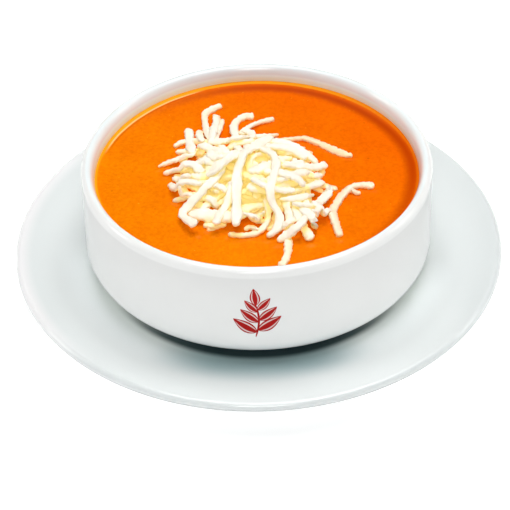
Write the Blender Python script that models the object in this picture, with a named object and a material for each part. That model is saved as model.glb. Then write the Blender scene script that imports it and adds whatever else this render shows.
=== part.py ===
"""Tomato soup with a heap of grated cheese, in its porcelain bowl on a saucer plate.

Units are metres and +Z is up.  The origin is the middle of the plate's foot, on the table,
and the front is -Y.  The plate, the bowl and the soup are closed profiles turned round Z.
The cheese is one heap: a dome united with the shreds that lie over it and stick out of it.
Three more shreds lie loose on the soup.
"""

import math
import random
from typing import NamedTuple

import bmesh
import bpy
from mathutils import Vector

MM = 0.001
GAP = 0.3 * MM                        # clearance between pieces that touch
TURNED_SEGMENTS = 56

# Saucer plate
PLATE_RADIUS = 95.0 * MM
PLATE_EDGE_ROUND = 1.8 * MM           # half the thickness of the rounded edge
PLATE_EDGE_HEIGHT = 13.1 * MM         # middle of the edge above the table
PLATE_WELL_RADIUS = 58.0 * MM         # the floor is flat inside this radius
PLATE_WELL_HEIGHT = 7.0 * MM
PLATE_RISE_POWER = 1.5                # how late the floor turns up towards the edge
PLATE_FOOT_RADIUS = 57.0 * MM
PLATE_FOOT_WIDTH = 5.0 * MM
PLATE_UNDERSIDE_HEIGHT = 3.2 * MM

# Bowl, whose heights are counted from its own foot
BOWL_BASE = PLATE_WELL_HEIGHT + GAP
BOWL_LIP_RADIUS = 66.5 * MM           # outside of the rounded lip
BOWL_LIP_ROUND = 1.95 * MM
BOWL_LIP_HEIGHT = 42.7 * MM           # middle of the rounded lip
BOWL_WALL_FOOT_RADIUS = 67.3 * MM     # the wall widens a little on its way down
BOWL_CORNER_WIDTH = 11.2 * MM         # lower corner, a quarter of an ellipse
BOWL_CORNER_HEIGHT = 9.0 * MM
BOWL_FOOT_RADIUS = 51.0 * MM
BOWL_FOOT_WIDTH = 5.0 * MM
BOWL_FOOT_HEIGHT = 2.7 * MM
BOWL_FLOOR_HEIGHT = 7.0 * MM          # inside floor
BOWL_INSIDE_RADIUS = 61.6 * MM        # inner wall below the lip
BOWL_INSIDE_CORNER = 13.0 * MM

# Soup
SOUP_HEIGHT = BOWL_LIP_HEIGHT - 4.4 * MM
SOUP_CREEP_HEIGHT = 0.7 * MM          # how far the edge of the soup climbs the wall
SOUP_CREEP_WIDTH = 2.2 * MM

# Grated cheese
HEAP_CENTRE = Vector((-3.0, -9.0)) * MM
HEAP_RADIUS = 27.0 * MM
HEAP_HEIGHT = 11.4 * MM
HEAP_FULLNESS = 0.75                  # 0.5 is half an ellipsoid, 1 is a parabola
HEAP_LOBES = ((2, 0.05, 40.0), (3, 0.04, 200.0), (5, 0.03, 20.0))
HEAP_RINGS = 6
HEAP_SEGMENTS = 32
LYING_SHREDS = 12
LYING_SEED = 8                        # one that leaves no sealed pocket in the heap
LYING_SPREAD = 0.66                   # how far out their middles lie, of the heap's radius
LYING_LENGTH = (20.0 * MM, 32.0 * MM)
LYING_WIDTH = (3.0, 4.0)
LYING_BEND = 75.0                     # most degrees that one turns along its length
LYING_LIFT = 0.6 * MM                 # middle line above the dome
LYING_POINTS = 5
GOLDEN_ANGLE = math.pi * (3.0 - math.sqrt(5.0))
LOWEST_LIFT = 2.3 * MM                # middle line of a shred that rests on the soup
SHRED_SIDES = 6
SHRED_STEP = 4.5 * MM                 # distance between the rings of a shred
SHRED_ENDS = (0.55, 0.9)              # width of the first two rings behind each tip


class Shred(NamedTuple):
    """A shred of cheese: its width and the points of its middle line, in millimetres.

    A point is x, y and the height of the middle line above the soup.
    """

    width: float
    points: tuple


HEAP_SHREDS = (
    Shred(2.6, ((-14.2, 43.2, 2.0), (-18.8, 39.5, 2.0), (-20.0, 31.0, 2.2), (-17.0, 12.0, 5.0))),
    Shred(3.2, ((-13.2, 33.5, 2.1), (-15.2, 28.0, 2.3), (-15.5, 10.0, 5.0))),
    Shred(2.8, ((-26.4, 27.0, 2.0), (-26.0, 19.0, 2.4), (-20.0, 4.0, 5.0))),
    Shred(2.8, ((-37.5, 3.5, 2.0), (-30.0, 6.5, 2.2), (-16.0, 9.0, 5.0))),
    Shred(2.8, ((-35.0, -0.8, 2.0), (-29.0, 1.0, 2.2), (-24.0, 0.0, 2.8), (-15.0, -7.0, 5.0))),
    Shred(2.8, ((-32.8, -8.7, 2.0), (-28.6, -11.0, 2.1), (-14.0, -13.0, 5.0))),
    Shred(3.4, ((-16.0, -14.0, 5.0), (-25.5, -21.5, 2.6), (-27.7, -25.0, 2.2),
                (-26.0, -29.4, 2.2), (-22.5, -32.7, 2.2))),
    Shred(3.8, ((-7.0, -22.0, 8.0), (-7.0, -31.8, 5.0), (-7.5, -36.4, 2.4))),
    Shred(2.6, ((-10.0, -38.6, 2.0), (-1.2, -37.8, 2.0), (3.4, -33.0, 2.8), (4.3, -25.0, 7.0))),
    Shred(3.4, ((6.0, -27.0, 7.0), (8.2, -33.0, 4.4), (7.4, -37.5, 2.4), (3.0, -40.8, 2.2))),
    Shred(3.0, ((6.5, -44.0, 2.0), (9.6, -41.7, 2.2), (14.0, -34.0, 4.0), (9.0, -24.0, 6.0))),
    Shred(3.8, ((18.5, -43.4, 2.3), (17.0, -40.0, 2.6), (14.0, -30.0, 5.0), (8.0, -20.0, 7.0))),
    Shred(2.4, ((24.4, -28.2, 1.8), (20.0, -31.6, 2.2), (12.0, -30.0, 4.0), (5.0, -24.0, 6.0))),
    Shred(3.4, ((25.6, -12.0, 3.0), (26.6, -16.5, 3.0), (21.0, -25.0, 4.0), (10.0, -26.0, 5.0))),
    Shred(3.4, ((26.0, 1.6, 2.4), (21.7, -1.0, 4.0), (10.0, -4.0, 7.0))),
    Shred(2.2, ((18.5, 11.4, 2.2), (11.0, 9.6, 4.2), (4.0, 6.0, 6.0))),
    Shred(2.2, ((8.8, 22.6, 1.8), (3.0, 21.4, 2.2), (-5.0, 13.0, 5.0))),
    Shred(2.6, ((6.2, 31.8, 1.9), (0.0, 29.0, 2.1), (-5.0, 20.0, 4.0), (-5.0, 8.0, 6.0))),
    Shred(3.0, ((-1.3, 35.6, 2.0), (-5.0, 34.6, 2.1), (-8.0, 27.0, 2.6), (-7.0, 12.0, 5.0))),
)

LOOSE_SHREDS = {
    "loose_shred_back": Shred(2.3, (
        (9.6, 17.4, 1.7), (16.0, 19.2, 1.7), (20.5, 18.6, 1.7), (28.0, 12.6, 1.6),
        (35.0, 7.8, 1.5), (37.2, 7.8, 1.5))),
    "loose_shred_right": Shred(3.2, (
        (44.2, -13.2, 2.0), (39.5, -12.2, 2.0), (35.0, -13.2, 2.0), (31.0, -18.4, 2.0),
        (28.0, -25.5, 2.0), (27.8, -33.0, 2.0), (29.6, -42.2, 2.0))),
    "loose_shred_front": Shred(2.8, (
        (10.5, -45.6, 1.8), (10.2, -50.0, 1.8), (9.2, -54.4, 1.8), (6.4, -57.2, 1.8))),
}


def clear_scene():
    """Remove every object that the scene starts with."""
    for thing in list(bpy.data.objects):
        bpy.data.objects.remove(thing, do_unlink=True)


def make_material(name, colour, roughness):
    """Make a plain Principled BSDF material."""
    material = bpy.data.materials.new(name)
    material.use_nodes = True
    shader = material.node_tree.nodes["Principled BSDF"]
    shader.inputs["Base Color"].default_value = (*colour, 1.0)
    shader.inputs["Roughness"].default_value = roughness
    shader.inputs["Metallic"].default_value = 0.0
    return material


def make_object(name, mesh_maker, material):
    """Turn a bmesh into a smooth-shaded object of the scene."""
    mesh = bpy.data.meshes.new(name)
    mesh_maker.to_mesh(mesh)
    mesh_maker.free()
    mesh.shade_smooth()
    mesh.set_sharp_from_angle(angle=math.radians(40.0))
    mesh.materials.append(material)
    piece = bpy.data.objects.new(name, mesh)
    bpy.context.scene.collection.objects.link(piece)
    return piece


def arc(centre, radii, start, end, steps):
    """Points of an ellipse's arc round (radius, height), from start to end degrees."""
    points = []
    for step in range(steps + 1):
        angle = math.radians(start + (end - start) * step / steps)
        points.append((centre[0] + radii[0] * math.cos(angle),
                       centre[1] + radii[1] * math.sin(angle)))
    return points


def turned_mesh(profile):
    """Carry a profile round Z.

    The profile runs from the axis underneath, outwards, up and back to the axis on top.
    """
    shell = bmesh.new()
    foot = shell.verts.new((0.0, 0.0, profile[0][1]))
    top = shell.verts.new((0.0, 0.0, profile[-1][1]))
    rings = []
    for radius, height in profile[1:-1]:
        ring = []
        for segment in range(TURNED_SEGMENTS):
            angle = 2.0 * math.pi * segment / TURNED_SEGMENTS
            ring.append(shell.verts.new((radius * math.cos(angle),
                                         radius * math.sin(angle), height)))
        rings.append(ring)
    close_tube(shell, rings, foot, top)
    return shell


def close_tube(shell, rings, foot, top):
    """Join rings of vertices into a tube, with a fan at each end."""
    count = len(rings[0])
    for place in range(count):
        following = (place + 1) % count
        shell.faces.new((foot, rings[0][following], rings[0][place]))
        shell.faces.new((top, rings[-1][place], rings[-1][following]))
        for lower, upper in zip(rings, rings[1:]):
            shell.faces.new((lower[place], lower[following], upper[following], upper[place]))


def plate_profile():
    """Half section of the plate: foot ring, underside, rounded edge and rising floor."""
    foot_inside = PLATE_FOOT_RADIUS - PLATE_FOOT_WIDTH
    foot_chamfer = 1.0 * MM
    edge_radius = PLATE_RADIUS - PLATE_EDGE_ROUND
    edge_top = PLATE_EDGE_HEIGHT + PLATE_EDGE_ROUND
    profile = [
        (0.0, PLATE_UNDERSIDE_HEIGHT),
        (foot_inside - foot_chamfer, PLATE_UNDERSIDE_HEIGHT),
        (foot_inside, 0.0),
        (PLATE_FOOT_RADIUS, 0.0),
        (PLATE_FOOT_RADIUS + foot_chamfer, PLATE_UNDERSIDE_HEIGHT),
        (0.5 * (PLATE_FOOT_RADIUS + edge_radius), PLATE_UNDERSIDE_HEIGHT + 2.4 * MM),
    ]
    profile += arc((edge_radius, PLATE_EDGE_HEIGHT), (PLATE_EDGE_ROUND, PLATE_EDGE_ROUND),
                   -75.0, 90.0, 5)
    rise_steps = 6
    for step in range(rise_steps - 1, -1, -1):
        share = step / rise_steps
        radius = PLATE_WELL_RADIUS + share * (edge_radius - PLATE_WELL_RADIUS)
        height = PLATE_WELL_HEIGHT + (edge_top - PLATE_WELL_HEIGHT) * share ** PLATE_RISE_POWER
        profile.append((radius, height))
    profile.append((0.0, PLATE_WELL_HEIGHT))
    return profile


def inside_profile(margin, top):
    """Inner wall of the bowl from the floor's edge to a height, moved in by a margin."""
    corner = BOWL_INSIDE_CORNER
    wall = BOWL_INSIDE_RADIUS - margin
    floor = BOWL_FLOOR_HEIGHT + margin
    points = arc((wall - corner, floor + corner), (corner, corner), -90.0, 0.0, 5)
    points.append((wall, top))
    return points


def bowl_profile():
    """Half section of the bowl: foot ring, corner, wall, rounded lip and inside."""
    foot_inside = BOWL_FOOT_RADIUS - BOWL_FOOT_WIDTH
    foot_chamfer = 0.8 * MM
    corner_radius = BOWL_WALL_FOOT_RADIUS - BOWL_CORNER_WIDTH
    lip_middle = BOWL_LIP_RADIUS - BOWL_LIP_ROUND
    profile = [
        (0.0, BOWL_FOOT_HEIGHT),
        (foot_inside - foot_chamfer, BOWL_FOOT_HEIGHT),
        (foot_inside, 0.0),
        (BOWL_FOOT_RADIUS, 0.0),
        (BOWL_FOOT_RADIUS + foot_chamfer, BOWL_FOOT_HEIGHT),
    ]
    profile += arc((corner_radius, BOWL_FOOT_HEIGHT + BOWL_CORNER_HEIGHT),
                   (BOWL_CORNER_WIDTH, BOWL_CORNER_HEIGHT), -90.0, 0.0, 6)
    profile += arc((lip_middle, BOWL_LIP_HEIGHT), (BOWL_LIP_ROUND, BOWL_LIP_ROUND),
                   0.0, 180.0, 7)
    profile += reversed(inside_profile(0.0, SOUP_HEIGHT))
    profile.append((0.0, BOWL_FLOOR_HEIGHT))
    return [(radius, height + BOWL_BASE) for radius, height in profile]


def soup_profile():
    """Half section of the soup: it fills the bowl and climbs its wall a little."""
    edge = BOWL_INSIDE_RADIUS - GAP
    profile = [(0.0, BOWL_FLOOR_HEIGHT + GAP)]
    profile += inside_profile(GAP, SOUP_HEIGHT + SOUP_CREEP_HEIGHT)
    profile.append((edge - 0.3 * SOUP_CREEP_WIDTH, SOUP_HEIGHT + 0.3 * SOUP_CREEP_HEIGHT))
    profile.append((edge - SOUP_CREEP_WIDTH, SOUP_HEIGHT))
    profile.append((0.0, SOUP_HEIGHT))
    return [(radius, height + BOWL_BASE) for radius, height in profile]


def heap_reach(angle):
    """Radius of the heap in a direction, made uneven by a few waves."""
    reach = 1.0
    for waves, share, phase in HEAP_LOBES:
        reach += share * math.cos(waves * angle - math.radians(phase))
    return HEAP_RADIUS * reach


def dome_lift(share):
    """Height of the dome above its bottom, at a share of the way out to its edge."""
    return HEAP_HEIGHT * (1.0 - min(share, 1.0) ** 2) ** HEAP_FULLNESS


def dome_mesh(bottom):
    """Dome of the heap on a flat bottom at a height."""
    shell = bmesh.new()
    rings = []
    for ring_number in range(HEAP_RINGS):
        share = 1.0 - (ring_number / HEAP_RINGS) ** 1.4
        ring = []
        for segment in range(HEAP_SEGMENTS):
            angle = 2.0 * math.pi * segment / HEAP_SEGMENTS
            radius = heap_reach(angle) * share
            ring.append(shell.verts.new((HEAP_CENTRE.x + radius * math.cos(angle),
                                         HEAP_CENTRE.y + radius * math.sin(angle),
                                         bottom + dome_lift(share))))
        rings.append(ring)
    foot = shell.verts.new((HEAP_CENTRE.x, HEAP_CENTRE.y, bottom))
    top = shell.verts.new((HEAP_CENTRE.x, HEAP_CENTRE.y, bottom + HEAP_HEIGHT))
    close_tube(shell, rings, foot, top)
    return shell


def lying_shreds():
    """Shreds that lie bent over the dome, spread evenly with seeded chance."""
    chance = random.Random(LYING_SEED)
    shreds = []
    for number in range(LYING_SHREDS):
        distance = LYING_SPREAD * HEAP_RADIUS * math.sqrt((number + 0.5) / LYING_SHREDS)
        place = number * GOLDEN_ANGLE
        middle = HEAP_CENTRE + distance * Vector((math.cos(place), math.sin(place)))
        heading = chance.uniform(0.0, math.pi)
        bend = math.radians(chance.uniform(-LYING_BEND, LYING_BEND))
        length = chance.uniform(*LYING_LENGTH)
        points = []
        for step in range(LYING_POINTS):
            along = step / (LYING_POINTS - 1) - 0.5
            turn = heading + 0.5 * bend * along
            spot = middle + length * along * Vector((math.cos(turn), math.sin(turn)))
            out = spot - HEAP_CENTRE
            share = out.length / heap_reach(math.atan2(out.y, out.x))
            lift = max(LOWEST_LIFT, GAP + dome_lift(share) + LYING_LIFT)
            points.append((spot.x / MM, spot.y / MM, lift / MM))
        shreds.append(Shred(chance.uniform(*LYING_WIDTH), tuple(points)))
    return shreds


def smooth_route(points):
    """Points at even steps along a Catmull-Rom curve through the given points."""
    padded = [2.0 * points[0] - points[1]] + points + [2.0 * points[-1] - points[-2]]
    route = [points[0]]
    for before, start, end, after in zip(padded, padded[1:], padded[2:], padded[3:]):
        steps = max(1, round((end - start).length / SHRED_STEP))
        for step in range(1, steps + 1):
            t = step / steps
            route.append(0.5 * (2.0 * start + (end - before) * t
                                + (2.0 * before - 5.0 * start + 4.0 * end - after) * t ** 2
                                + (3.0 * start - before - 3.0 * end + after) * t ** 3))
    return route


def shred_mesh(shred, soup_top):
    """Round tube along a shred's route, narrower towards both of its tips."""
    points = []
    for x, y, lift in shred.points:
        points.append(Vector((x * MM, y * MM, soup_top + lift * MM)))
    route = smooth_route(points)
    shell = bmesh.new()
    rings = []
    last = len(route) - 1
    for number, middle in enumerate(route):
        along = (route[min(number + 1, last)] - route[max(number - 1, 0)]).normalized()
        side = along.cross(Vector((0.0, 0.0, 1.0))).normalized()
        up = side.cross(along)
        from_tip = min(number, last - number)
        width = SHRED_ENDS[from_tip] if from_tip < len(SHRED_ENDS) else 1.0
        radius = 0.5 * shred.width * MM * width
        ring = []
        for corner in range(SHRED_SIDES):
            angle = -2.0 * math.pi * corner / SHRED_SIDES
            ring.append(shell.verts.new(middle + radius * (side * math.cos(angle)
                                                           + up * math.sin(angle))))
        rings.append(ring)
    tip_length = 0.35 * shred.width * MM
    first_tip = shell.verts.new(route[0] - tip_length * (route[1] - route[0]).normalized())
    last_tip = shell.verts.new(route[-1] + tip_length * (route[-1] - route[-2]).normalized())
    close_tube(shell, rings, first_tip, last_tip)
    return shell


def unite(piece, tools):
    """Unite a piece with other ones, which then stay only as hidden tools."""
    group = bpy.data.collections.new(f"{piece.name}_tools")
    bpy.context.scene.collection.children.link(group)
    for tool in tools:
        bpy.context.scene.collection.objects.unlink(tool)
        group.objects.link(tool)
        tool.hide_render = True
        tool.display_type = "WIRE"
    union = piece.modifiers.new(group.name, "BOOLEAN")
    union.operation = "UNION"
    union.operand_type = "COLLECTION"
    union.collection = group


def build_heap(soup_top, material):
    """The heap: its dome with the shreds that stick out of it and lie over it."""
    heap = make_object("grated_cheese_heap", dome_mesh(soup_top + GAP), material)
    tools = []
    for number, shred in enumerate([*HEAP_SHREDS, *lying_shreds()], start=1):
        mesh = shred_mesh(shred, soup_top)
        tools.append(make_object(f"heap_shred_{number:02d}", mesh, material))
    unite(heap, tools)


def main():
    """Build every piece of the bowl of soup."""
    clear_scene()
    soup_top = BOWL_BASE + SOUP_HEIGHT
    make_object("saucer_plate", turned_mesh(plate_profile()),
                make_material("plate_porcelain", (0.84, 0.85, 0.86), 0.15))
    make_object("soup_bowl", turned_mesh(bowl_profile()),
                make_material("bowl_porcelain", (0.86, 0.86, 0.87), 0.12))
    make_object("tomato_soup", turned_mesh(soup_profile()),
                make_material("tomato_soup", (0.95, 0.20, 0.005), 0.25))
    build_heap(soup_top, make_material("heap_cheese", (0.95, 0.90, 0.72), 0.45))
    for name, shred in LOOSE_SHREDS.items():
        make_object(name, shred_mesh(shred, soup_top),
                    make_material(name, (0.95, 0.88, 0.72), 0.45))


main()
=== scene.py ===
"""Looks of a bowl of tomato soup with grated cheese, standing on a saucer plate.

Units are metres, +Z is up and the front is -Y.  The origin is the middle of the plate's foot.
The plate, the bowl and the soup are profiles turned round Z.  The heap of cheese is made of
single shreds laid on each other over a small core, and three more shreds lie on the soup.
"""

import logging
import math
from dataclasses import dataclass, field
from enum import Enum
from functools import cached_property
from typing import Any

import bpy
import numpy as np
from mathutils import Matrix, Vector


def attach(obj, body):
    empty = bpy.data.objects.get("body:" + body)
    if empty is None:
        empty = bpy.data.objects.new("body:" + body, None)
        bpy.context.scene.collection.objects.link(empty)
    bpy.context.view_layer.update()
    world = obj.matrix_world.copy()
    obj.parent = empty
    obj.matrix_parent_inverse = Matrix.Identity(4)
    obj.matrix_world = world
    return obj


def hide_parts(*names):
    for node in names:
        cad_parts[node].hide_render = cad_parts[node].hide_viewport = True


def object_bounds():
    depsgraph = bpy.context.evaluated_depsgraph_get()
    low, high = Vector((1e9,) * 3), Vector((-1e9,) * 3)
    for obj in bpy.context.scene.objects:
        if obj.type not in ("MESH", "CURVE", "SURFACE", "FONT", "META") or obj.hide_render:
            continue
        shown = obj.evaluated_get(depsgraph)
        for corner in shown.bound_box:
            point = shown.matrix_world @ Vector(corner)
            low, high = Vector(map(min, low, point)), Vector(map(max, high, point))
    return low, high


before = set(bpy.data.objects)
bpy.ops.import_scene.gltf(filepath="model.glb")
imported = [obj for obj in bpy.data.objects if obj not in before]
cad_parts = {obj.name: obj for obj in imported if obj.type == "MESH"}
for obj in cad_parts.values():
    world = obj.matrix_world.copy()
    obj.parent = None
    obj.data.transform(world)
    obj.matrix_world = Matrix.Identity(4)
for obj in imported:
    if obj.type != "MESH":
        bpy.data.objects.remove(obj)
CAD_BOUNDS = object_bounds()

MM = 0.001
BODY = "root"
Colour = tuple[float, float, float]
WHITE: Colour = (1.0, 1.0, 1.0)
BLACK: Colour = (0.0, 0.0, 0.0)
log = logging.getLogger("soup_bowl")


# ---------------------------------------------------------------- meshes from arrays

def arc(centre: tuple[float, float], radii: tuple[float, float],
        start: float, end: float, count: int) -> np.ndarray:
    """Points of an ellipse's arc: centre + radii * (cos a, sin a), a from start to end.

    Args:
        centre: Radius and height of the middle.
        radii: Half width and half height.
        start: First angle in degrees.
        end: Last angle in degrees.
        count: Number of points.

    Returns:
        An array of (radius, height) rows.
    """
    angle = np.radians(np.linspace(start, end, count))
    return np.column_stack([centre[0] + radii[0] * np.cos(angle),
                            centre[1] + radii[1] * np.sin(angle)])


def straight(start: tuple[float, float], end: tuple[float, float], count: int) -> np.ndarray:
    """Points on the straight line start + t (end - start), both ends left out.

    Args:
        start: Radius and height before the first point.
        end: Radius and height after the last point.
        count: Number of points.

    Returns:
        An array of (radius, height) rows.
    """
    share = np.linspace(0.0, 1.0, count + 2)[1:-1, None]
    return np.array(start) + share * (np.array(end) - np.array(start))


def foot_ring(radius: float, width: float, rounding: float, floor: float,
              steps: int) -> np.ndarray:
    """Half section of an underside with a narrow foot ring, from the axis to outside the ring.

    Args:
        radius: Outer radius of the ring.
        width: Its width.
        rounding: Half width of the hollow on each side of it.
        floor: Height of the underside.
        steps: Number of points from the axis to the ring.

    Returns:
        An array of (radius, height) rows.
    """
    inner = radius - width
    blunt = 0.1 * MM
    return np.vstack([
        [(0.0, floor)],
        straight((0.0, floor), (inner - rounding, floor), steps),
        arc((inner - rounding, 0.0), (rounding, floor), 90.0, 12.0, 6),
        [(inner + blunt, 0.0), (radius - blunt, 0.0)],
        arc((radius + rounding, 0.0), (rounding, floor), 168.0, 90.0, 6)])


def turned_rings(profile: np.ndarray, segments: int) -> np.ndarray:
    """Carry a profile round Z: a point (r, h) becomes (r cos a, r sin a, h).

    Args:
        profile: (radius, height) rows.
        segments: Number of points round each ring.

    Returns:
        An array of shape (rows, segments, 3).
    """
    angle = np.linspace(0.0, 2.0 * np.pi, segments, endpoint=False)
    radius = profile[:, :1]
    height = np.repeat(profile[:, 1:], segments, axis=1)
    return np.stack([radius * np.cos(angle), radius * np.sin(angle), height], axis=-1)


@dataclass
class Shell:
    """Vertices and faces of one or more closed tubes, before they are a mesh.

    Attributes:
        points: (n, 3) vertex places.
        quads: (m, 4) vertex numbers.
        triangles: (k, 3) vertex numbers.
    """

    points: np.ndarray
    quads: np.ndarray
    triangles: np.ndarray

    def as_piece(self, name: str, material: bpy.types.Material, slot: str) -> bpy.types.Object:
        """Make the shell a smooth-shaded piece that rides on the part's body.

        Args:
            name: Name of the piece.
            material: Its finish.
            slot: The record's material slot; not used.

        Returns:
            The new object.
        """
        mesh = bpy.data.meshes.new(name)
        mesh.from_pydata(self.points.tolist(), [], self.quads.tolist() + self.triangles.tolist())
        mesh.shade_smooth()
        mesh.materials.append(material)
        piece = placed(name, mesh)
        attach(piece, BODY)
        log.info("%s: %d faces", name, len(mesh.polygons))
        return piece


def closed_tube(rings: np.ndarray, start: np.ndarray, end: np.ndarray) -> Shell:
    """Join rings of points into a tube closed by a fan at each end.

    A ring runs anticlockwise seen from its far side, so ring direction times tube direction
    points outwards.

    Args:
        rings: Points of shape (rows, columns, 3).
        start: The point before the first ring.
        end: The point after the last ring.

    Returns:
        The closed shell.
    """
    rows, columns = rings.shape[:2]
    number = np.arange(rows * columns).reshape(rows, columns)
    following = np.roll(number, -1, axis=1)
    quads = np.stack([number[:-1], following[:-1], following[1:], number[1:]], axis=-1)
    first, last = rows * columns, rows * columns + 1
    foot = np.stack([np.full(columns, first), following[0], number[0]], axis=-1)
    top = np.stack([np.full(columns, last), number[-1], following[-1]], axis=-1)
    points = np.vstack([rings.reshape(-1, 3), start, end])
    return Shell(points, quads.reshape(-1, 4), np.vstack([foot, top]))


def turned_shell(profile: np.ndarray, segments: int) -> Shell:
    """Closed shell of a profile whose first and last points lie on the axis.

    Args:
        profile: (radius, height) rows from the axis underneath, outwards, up and back.
        segments: Number of points round each ring.

    Returns:
        The closed shell.
    """
    rings = turned_rings(profile[1:-1], segments)
    start = np.array([0.0, 0.0, profile[0, 1]])
    end = np.array([0.0, 0.0, profile[-1, 1]])
    return closed_tube(rings, start, end)


def joined(shells: list[Shell]) -> Shell:
    """One shell that holds all the given ones."""
    offsets = np.cumsum([0] + [len(shell.points) for shell in shells[:-1]])
    return Shell(np.vstack([shell.points for shell in shells]),
                 np.vstack([shell.quads + gap for shell, gap in zip(shells, offsets)]),
                 np.vstack([shell.triangles + gap for shell, gap in zip(shells, offsets)]))


def smooth_route(points: np.ndarray, count: int) -> np.ndarray:
    """Points along a Catmull-Rom curve through the given ones, closer at both ends.

    Between p1 and p2, with neighbours p0 and p3, the curve is half of
    2 p1 + (p2 - p0) t + (2 p0 - 5 p1 + 4 p2 - p3) t^2 + (3 p1 - p0 - 3 p2 + p3) t^3.

    Args:
        points: (n, 3) places that the route passes through.
        count: Number of points to give back.

    Returns:
        The (count, 3) route.
    """
    padded = np.vstack([2.0 * points[0] - points[1], points, 2.0 * points[-1] - points[-2]])
    spans = np.linalg.norm(np.diff(points, axis=0), axis=1)
    travelled = np.concatenate([[0.0], np.cumsum(spans)])
    even = np.linspace(0.0, 1.0, count)
    crowded = 0.5 - 0.5 * np.cos(np.pi * even)
    wanted = travelled[-1] * (0.45 * even + 0.55 * crowded)
    span = np.clip(np.searchsorted(travelled, wanted, side="right") - 1, 0, len(spans) - 1)
    t = ((wanted - travelled[span]) / spans[span])[:, None]
    p0, p1, p2, p3 = (padded[span + step] for step in range(4))
    return 0.5 * (2.0 * p1 + (p2 - p0) * t
                  + (2.0 * p0 - 5.0 * p1 + 4.0 * p2 - p3) * t ** 2
                  + (3.0 * p1 - p0 - 3.0 * p2 + p3) * t ** 3)


def unit(vectors: np.ndarray) -> np.ndarray:
    """The vectors at length 1."""
    return vectors / np.linalg.norm(vectors, axis=-1, keepdims=True)


def compass(count: int) -> np.ndarray:
    """Flat directions of length 1, evenly spread round the circle."""
    angle = np.linspace(0.0, 2.0 * np.pi, count, endpoint=False)
    return np.stack([np.cos(angle), np.sin(angle)], axis=-1)


def placed(name: str, data: bpy.types.ID) -> bpy.types.Object:
    """Put a mesh, a light or a camera into the scene as an object of that name."""
    item = bpy.data.objects.new(name, data)
    bpy.context.scene.collection.objects.link(item)
    return item


# ---------------------------------------------------------------- finishes

class Wiring:
    """Adds nodes to a node tree and joins them."""

    def __init__(self, tree: bpy.types.NodeTree) -> None:
        """Keep the tree that the nodes go into."""
        self.tree = tree

    def put(self, socket: bpy.types.NodeSocket, value: Any) -> None:
        """Link a socket to an output, or set its value.

        Args:
            socket: The input socket.
            value: An output socket, a number, a vector or a colour.
        """
        if isinstance(value, bpy.types.NodeSocket):
            self.tree.links.new(value, socket)
        elif isinstance(value, tuple) and socket.type == "RGBA":
            socket.default_value = (*value[:3], 1.0)
        else:
            socket.default_value = value

    def add(self, kind: str, inputs: dict[str | int, Any] | None = None,
            **settings: Any) -> bpy.types.Node:
        """Add a node.

        Args:
            kind: Blender's name of the node's type.
            inputs: Values or output sockets by input name or number.
            **settings: The node's own properties.

        Returns:
            The new node.
        """
        node = self.tree.nodes.new(kind)
        for name, value in settings.items():
            setattr(node, name, value)
        for name, value in (inputs or {}).items():
            self.put(node.inputs[name], value)
        return node

    def mix(self, share: Any, first: Any, second: Any) -> bpy.types.NodeSocket:
        """Colour that goes from first to second as share goes from 0 to 1."""
        node = self.add("ShaderNodeMix", {0: share, 6: first, 7: second}, data_type="RGBA")
        return node.outputs[2]

    def times(self, first: Any, second: Any) -> bpy.types.NodeSocket:
        """Product of two colours."""
        node = self.add("ShaderNodeMix", {0: 1.0, 6: first, 7: second}, data_type="RGBA",
                        blend_type="MULTIPLY")
        return node.outputs[2]

    def tinted(self, colour: Any, share: Any, tint: Any) -> bpy.types.NodeSocket:
        """The colour, multiplied by the tint as far as share goes from 0 to 1."""
        return self.times(colour, self.mix(share, WHITE, tint))

    def product(self, first: Any, *others: Any) -> bpy.types.NodeSocket:
        """Product of numbers."""
        for other in others:
            first = self.math("MULTIPLY", first, other)
        return first

    def ramp(self, value: Any, start: float, end: float,
             low: float = 0.0, high: float = 1.0) -> bpy.types.NodeSocket:
        """Smooth step from low to high as value goes from start to end."""
        node = self.add("ShaderNodeMapRange", {0: value, 1: start, 2: end, 3: low, 4: high},
                        interpolation_type="SMOOTHSTEP")
        return node.outputs[0]

    def math(self, operation: str, *values: Any) -> bpy.types.NodeSocket:
        """Result of one operation on up to three numbers."""
        return self.add("ShaderNodeMath", dict(enumerate(values)),
                        operation=operation).outputs[0]

    def group(self, tree: bpy.types.NodeTree, inputs: dict[str, Any]) -> bpy.types.Node:
        """Place a shared group with its own values."""
        node = self.add("ShaderNodeGroup", node_tree=tree)
        for name, value in inputs.items():
            self.put(node.inputs[name], value)
        return node


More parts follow.
